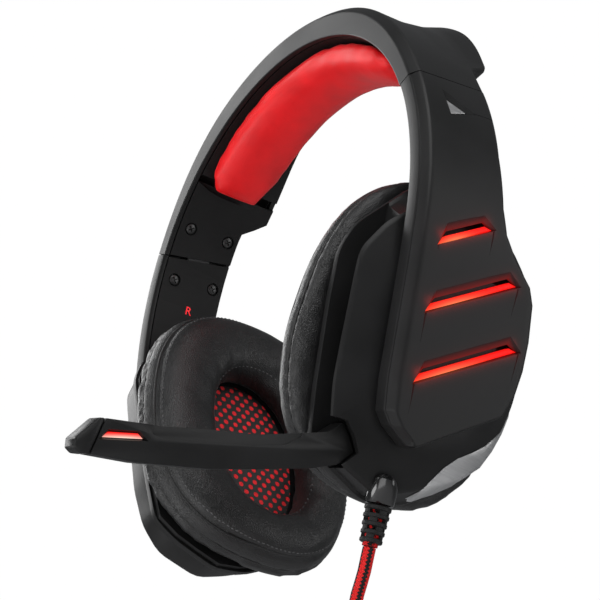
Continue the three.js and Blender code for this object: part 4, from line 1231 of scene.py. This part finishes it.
def ear_cushion(right):
    """A closed ring, swollen by simulation, drawn in at its seams and gathered at the hole."""
    side = "right" if right else "left"
    angles = circle(120)
    rings = [[cushion_point(right, a, f, o) for f, o in cushion_profile(right)] for a in angles]
    cushion = solid(f"{side}_cushion_cover", lofted(rings, closed=True), HIDE, right)
    inflate(cushion, 2.4, 3.0, 1.0)
    inverse = CUP.inverted()
    middle_y, middle_v = HOLE["y"], HOLE["v"]
    for v in cushion.data.vertices:
        local = inverse @ in_mm(v.co, right)
        angle = math.atan2((local.z - middle_v) / 1.27, local.y - middle_y)
        out = Vector((0, local.y - middle_y, local.z - middle_v)).normalized()
        near_hole = (Vector((0, local.y, local.z)) - Vector((0, *super_oval(HOLE, angle)))).length
        if near_hole > 12:
            for _, o in SEAMS:
                local -= out * 0.8 * math.exp(-((local.x - o) / 0.62) ** 2)
        # gathers that run out from the hole's edge
        reach = math.exp(-((near_hole - 4) / 5.5) ** 2) * smooth(-local.x, 8, 13)
        ripple = 0.5 * math.sin(angle * 17 + 1.7 * math.sin(angle * 3)) + 0.5 * math.sin(angle * 11 + 0.9)
        local.x += 0.42 * reach * max(ripple, -0.35)
        local.x = min(local.x, -0.62)
        v.co = to_mesh(CUP @ local, right)
    cushion.data.update()
    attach(cushion, f"cup_{side}")
    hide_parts(f"{side}_ear_cushion")
    data = cushion.data
    tree = BVHTree.FromPolygons([v.co for v in data.vertices], [p.vertices for p in data.polygons])
    for k, (f, o) in enumerate(SEAMS):
        line = laid_on(tree, [cushion_point(right, a, f + 0.012, o) for a in angles], right, -0.05)
        for _ in range(8):
            line = [(a + b * 2 + c) / 4 for a, b, c in zip(line[-1:] + line[:-1], line, line[1:] + line[:1])]
        seam = tube(f"{side}_cushion_seam_{k + 1}", line, 0.42, PIPING, 8, right, closed=True)
        seam.parent = cushion
    stitches(right, cushion, tree)


def stitches(right, cushion, tree):
    """Two rows of short thread stitches: by the face's outer seam and round the hole."""
    side = "right" if right else "left"
    parts = []
    out = (on_cup(-1, 0, 0) - on_cup(0, 0, 0)).normalized()
    for count, f, o, length in ((150, 0.915, -12.15, 1.0), (74, 0.055, -10.6, 0.9)):
        for a in circle(count):
            p, q = laid_on(tree, [cushion_point(right, b, f, o) for b in (a, a + 0.01)], right, -0.2)
            run = (q - p).normalized()
            across = run.cross(out).normalized()
            rings = []
            for s, w in ((-0.5, 0.05), (-0.35, 0.17), (0, 0.2), (0.35, 0.17), (0.5, 0.05)):
                centre = p + run * s * length + out * 0.35
                rings.append([centre + (across * math.cos(b) + out * math.sin(b)) * w for b in circle(6)])
            parts.append(lofted(rings))
    obj = solid(f"{side}_cushion_stitches", joined(parts), THREAD, right, 60)
    obj.parent = cushion


head_pad()
ear_cushion(False)
ear_cushion(True)

# ---- what stays of the CAD nodes ----


def dress(names, material, width=0.0):
    for name in names:
        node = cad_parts[name]
        node.data.materials.clear()
        node.data.materials.append(material)
        soften(node, 30)
        if width:
            bevel(node, width, 2, 40)


SIDES = ("left", "right")
dress(["headband_pad_base"] + [f"{s}_slider_cover" for s in SIDES], COVER, 0.25)
dress([f"{s}_arm_inner_shell" for s in SIDES], COVER)
dress([f"{s}_baffle" for s in SIDES], COVER)
dress(["headband_spring"] + [f"{s}_{n}" for s in SIDES for n in ("slider_strip", "tilt_pin")], STEEL)
dress(["mic_pivot_pin", "mic_capsule", "usb_plug_shell"] + [f"{s}_driver" for s in SIDES], SCREW)
dress(["main_board"] + [f"{s}_light_board" for s in SIDES], BOARD)
dress(["usb_plug_body"], RUBBER, 1.2)

# ---- floor, backdrop and lights ----

FLOOR_Z = -0.62
# Each softbox: place in metres, width, height, watts
SOFTBOXES = [((0.75, -0.25, 0.75), 0.7, 0.9, 8.5), ((0.1, -1.1, 0.35), 0.6, 1.0, 6.5),
             ((0.9, 0.75, 0.2), 0.5, 0.9, 4), ((-0.9, -0.3, 0.5), 0.6, 0.8, 7),
             ((0.5, -0.6, -0.45), 0.7, 0.4, 2.5), ((-0.25, -0.9, -0.45), 0.5, 0.3, 3.5)]


def stage_and_lights():
    pale = Shader("pale_floor", (0.86, 0.86, 0.87), 0.6, Emission_Color=(1, 1, 1, 1))
    pale.bump(pale.noise(6, 2), 0.05, 0.002)
    # the camera sees a paler floor than the one that lights the headset
    seen = pale.node("ShaderNodeLightPath").outputs["Is Camera Ray"]
    pale.link(pale.math("MULTIPLY", seen, 0.4), pale.main.inputs["Emission Strength"])
    mesh = bpy.data.meshes.new("floor")
    corners = [(x, y, FLOOR_Z) for x, y in ((-6, -6), (6, -6), (6, 6), (-6, 6))]
    mesh.from_pydata(corners, [], [(0, 1, 2, 3)])
    floor = linked("floor", mesh)
    floor.data.materials.append(pale.material)
    bpy.ops.mesh.primitive_uv_sphere_add(radius=5.5, segments=48, ring_count=24)
    dome = bpy.context.object
    dome.name = "backdrop"
    white = Shader("white_backdrop", (0, 0, 0), 1.0, Emission_Color=(1, 1, 1, 1), Emission_Strength=1.0)
    dome.data.materials.append(white.material)
    dome.visible_diffuse = dome.visible_glossy = dome.visible_shadow = False
    world = bpy.data.worlds.new("studio")
    world.use_nodes = True
    world.node_tree.nodes["Background"].inputs[0].default_value = (0.95, 0.97, 1, 1)
    world.node_tree.nodes["Background"].inputs[1].default_value = 0.22
    bpy.context.scene.world = world
    for k, (at, width, height, power) in enumerate(SOFTBOXES):
        data = bpy.data.lights.new(f"softbox_{k + 1}", "AREA")
        data.shape, data.size, data.size_y, data.energy = "RECTANGLE", width, height, power
        lamp = linked(f"softbox_{k + 1}", data)
        lamp.location = at
        lamp.rotation_euler = (Vector((0, 0, 0.03)) - Vector(at)).to_track_quat("-Z", "Y").to_euler()
    bpy.context.scene.view_settings.view_transform = "Standard"


stage_and_lights()
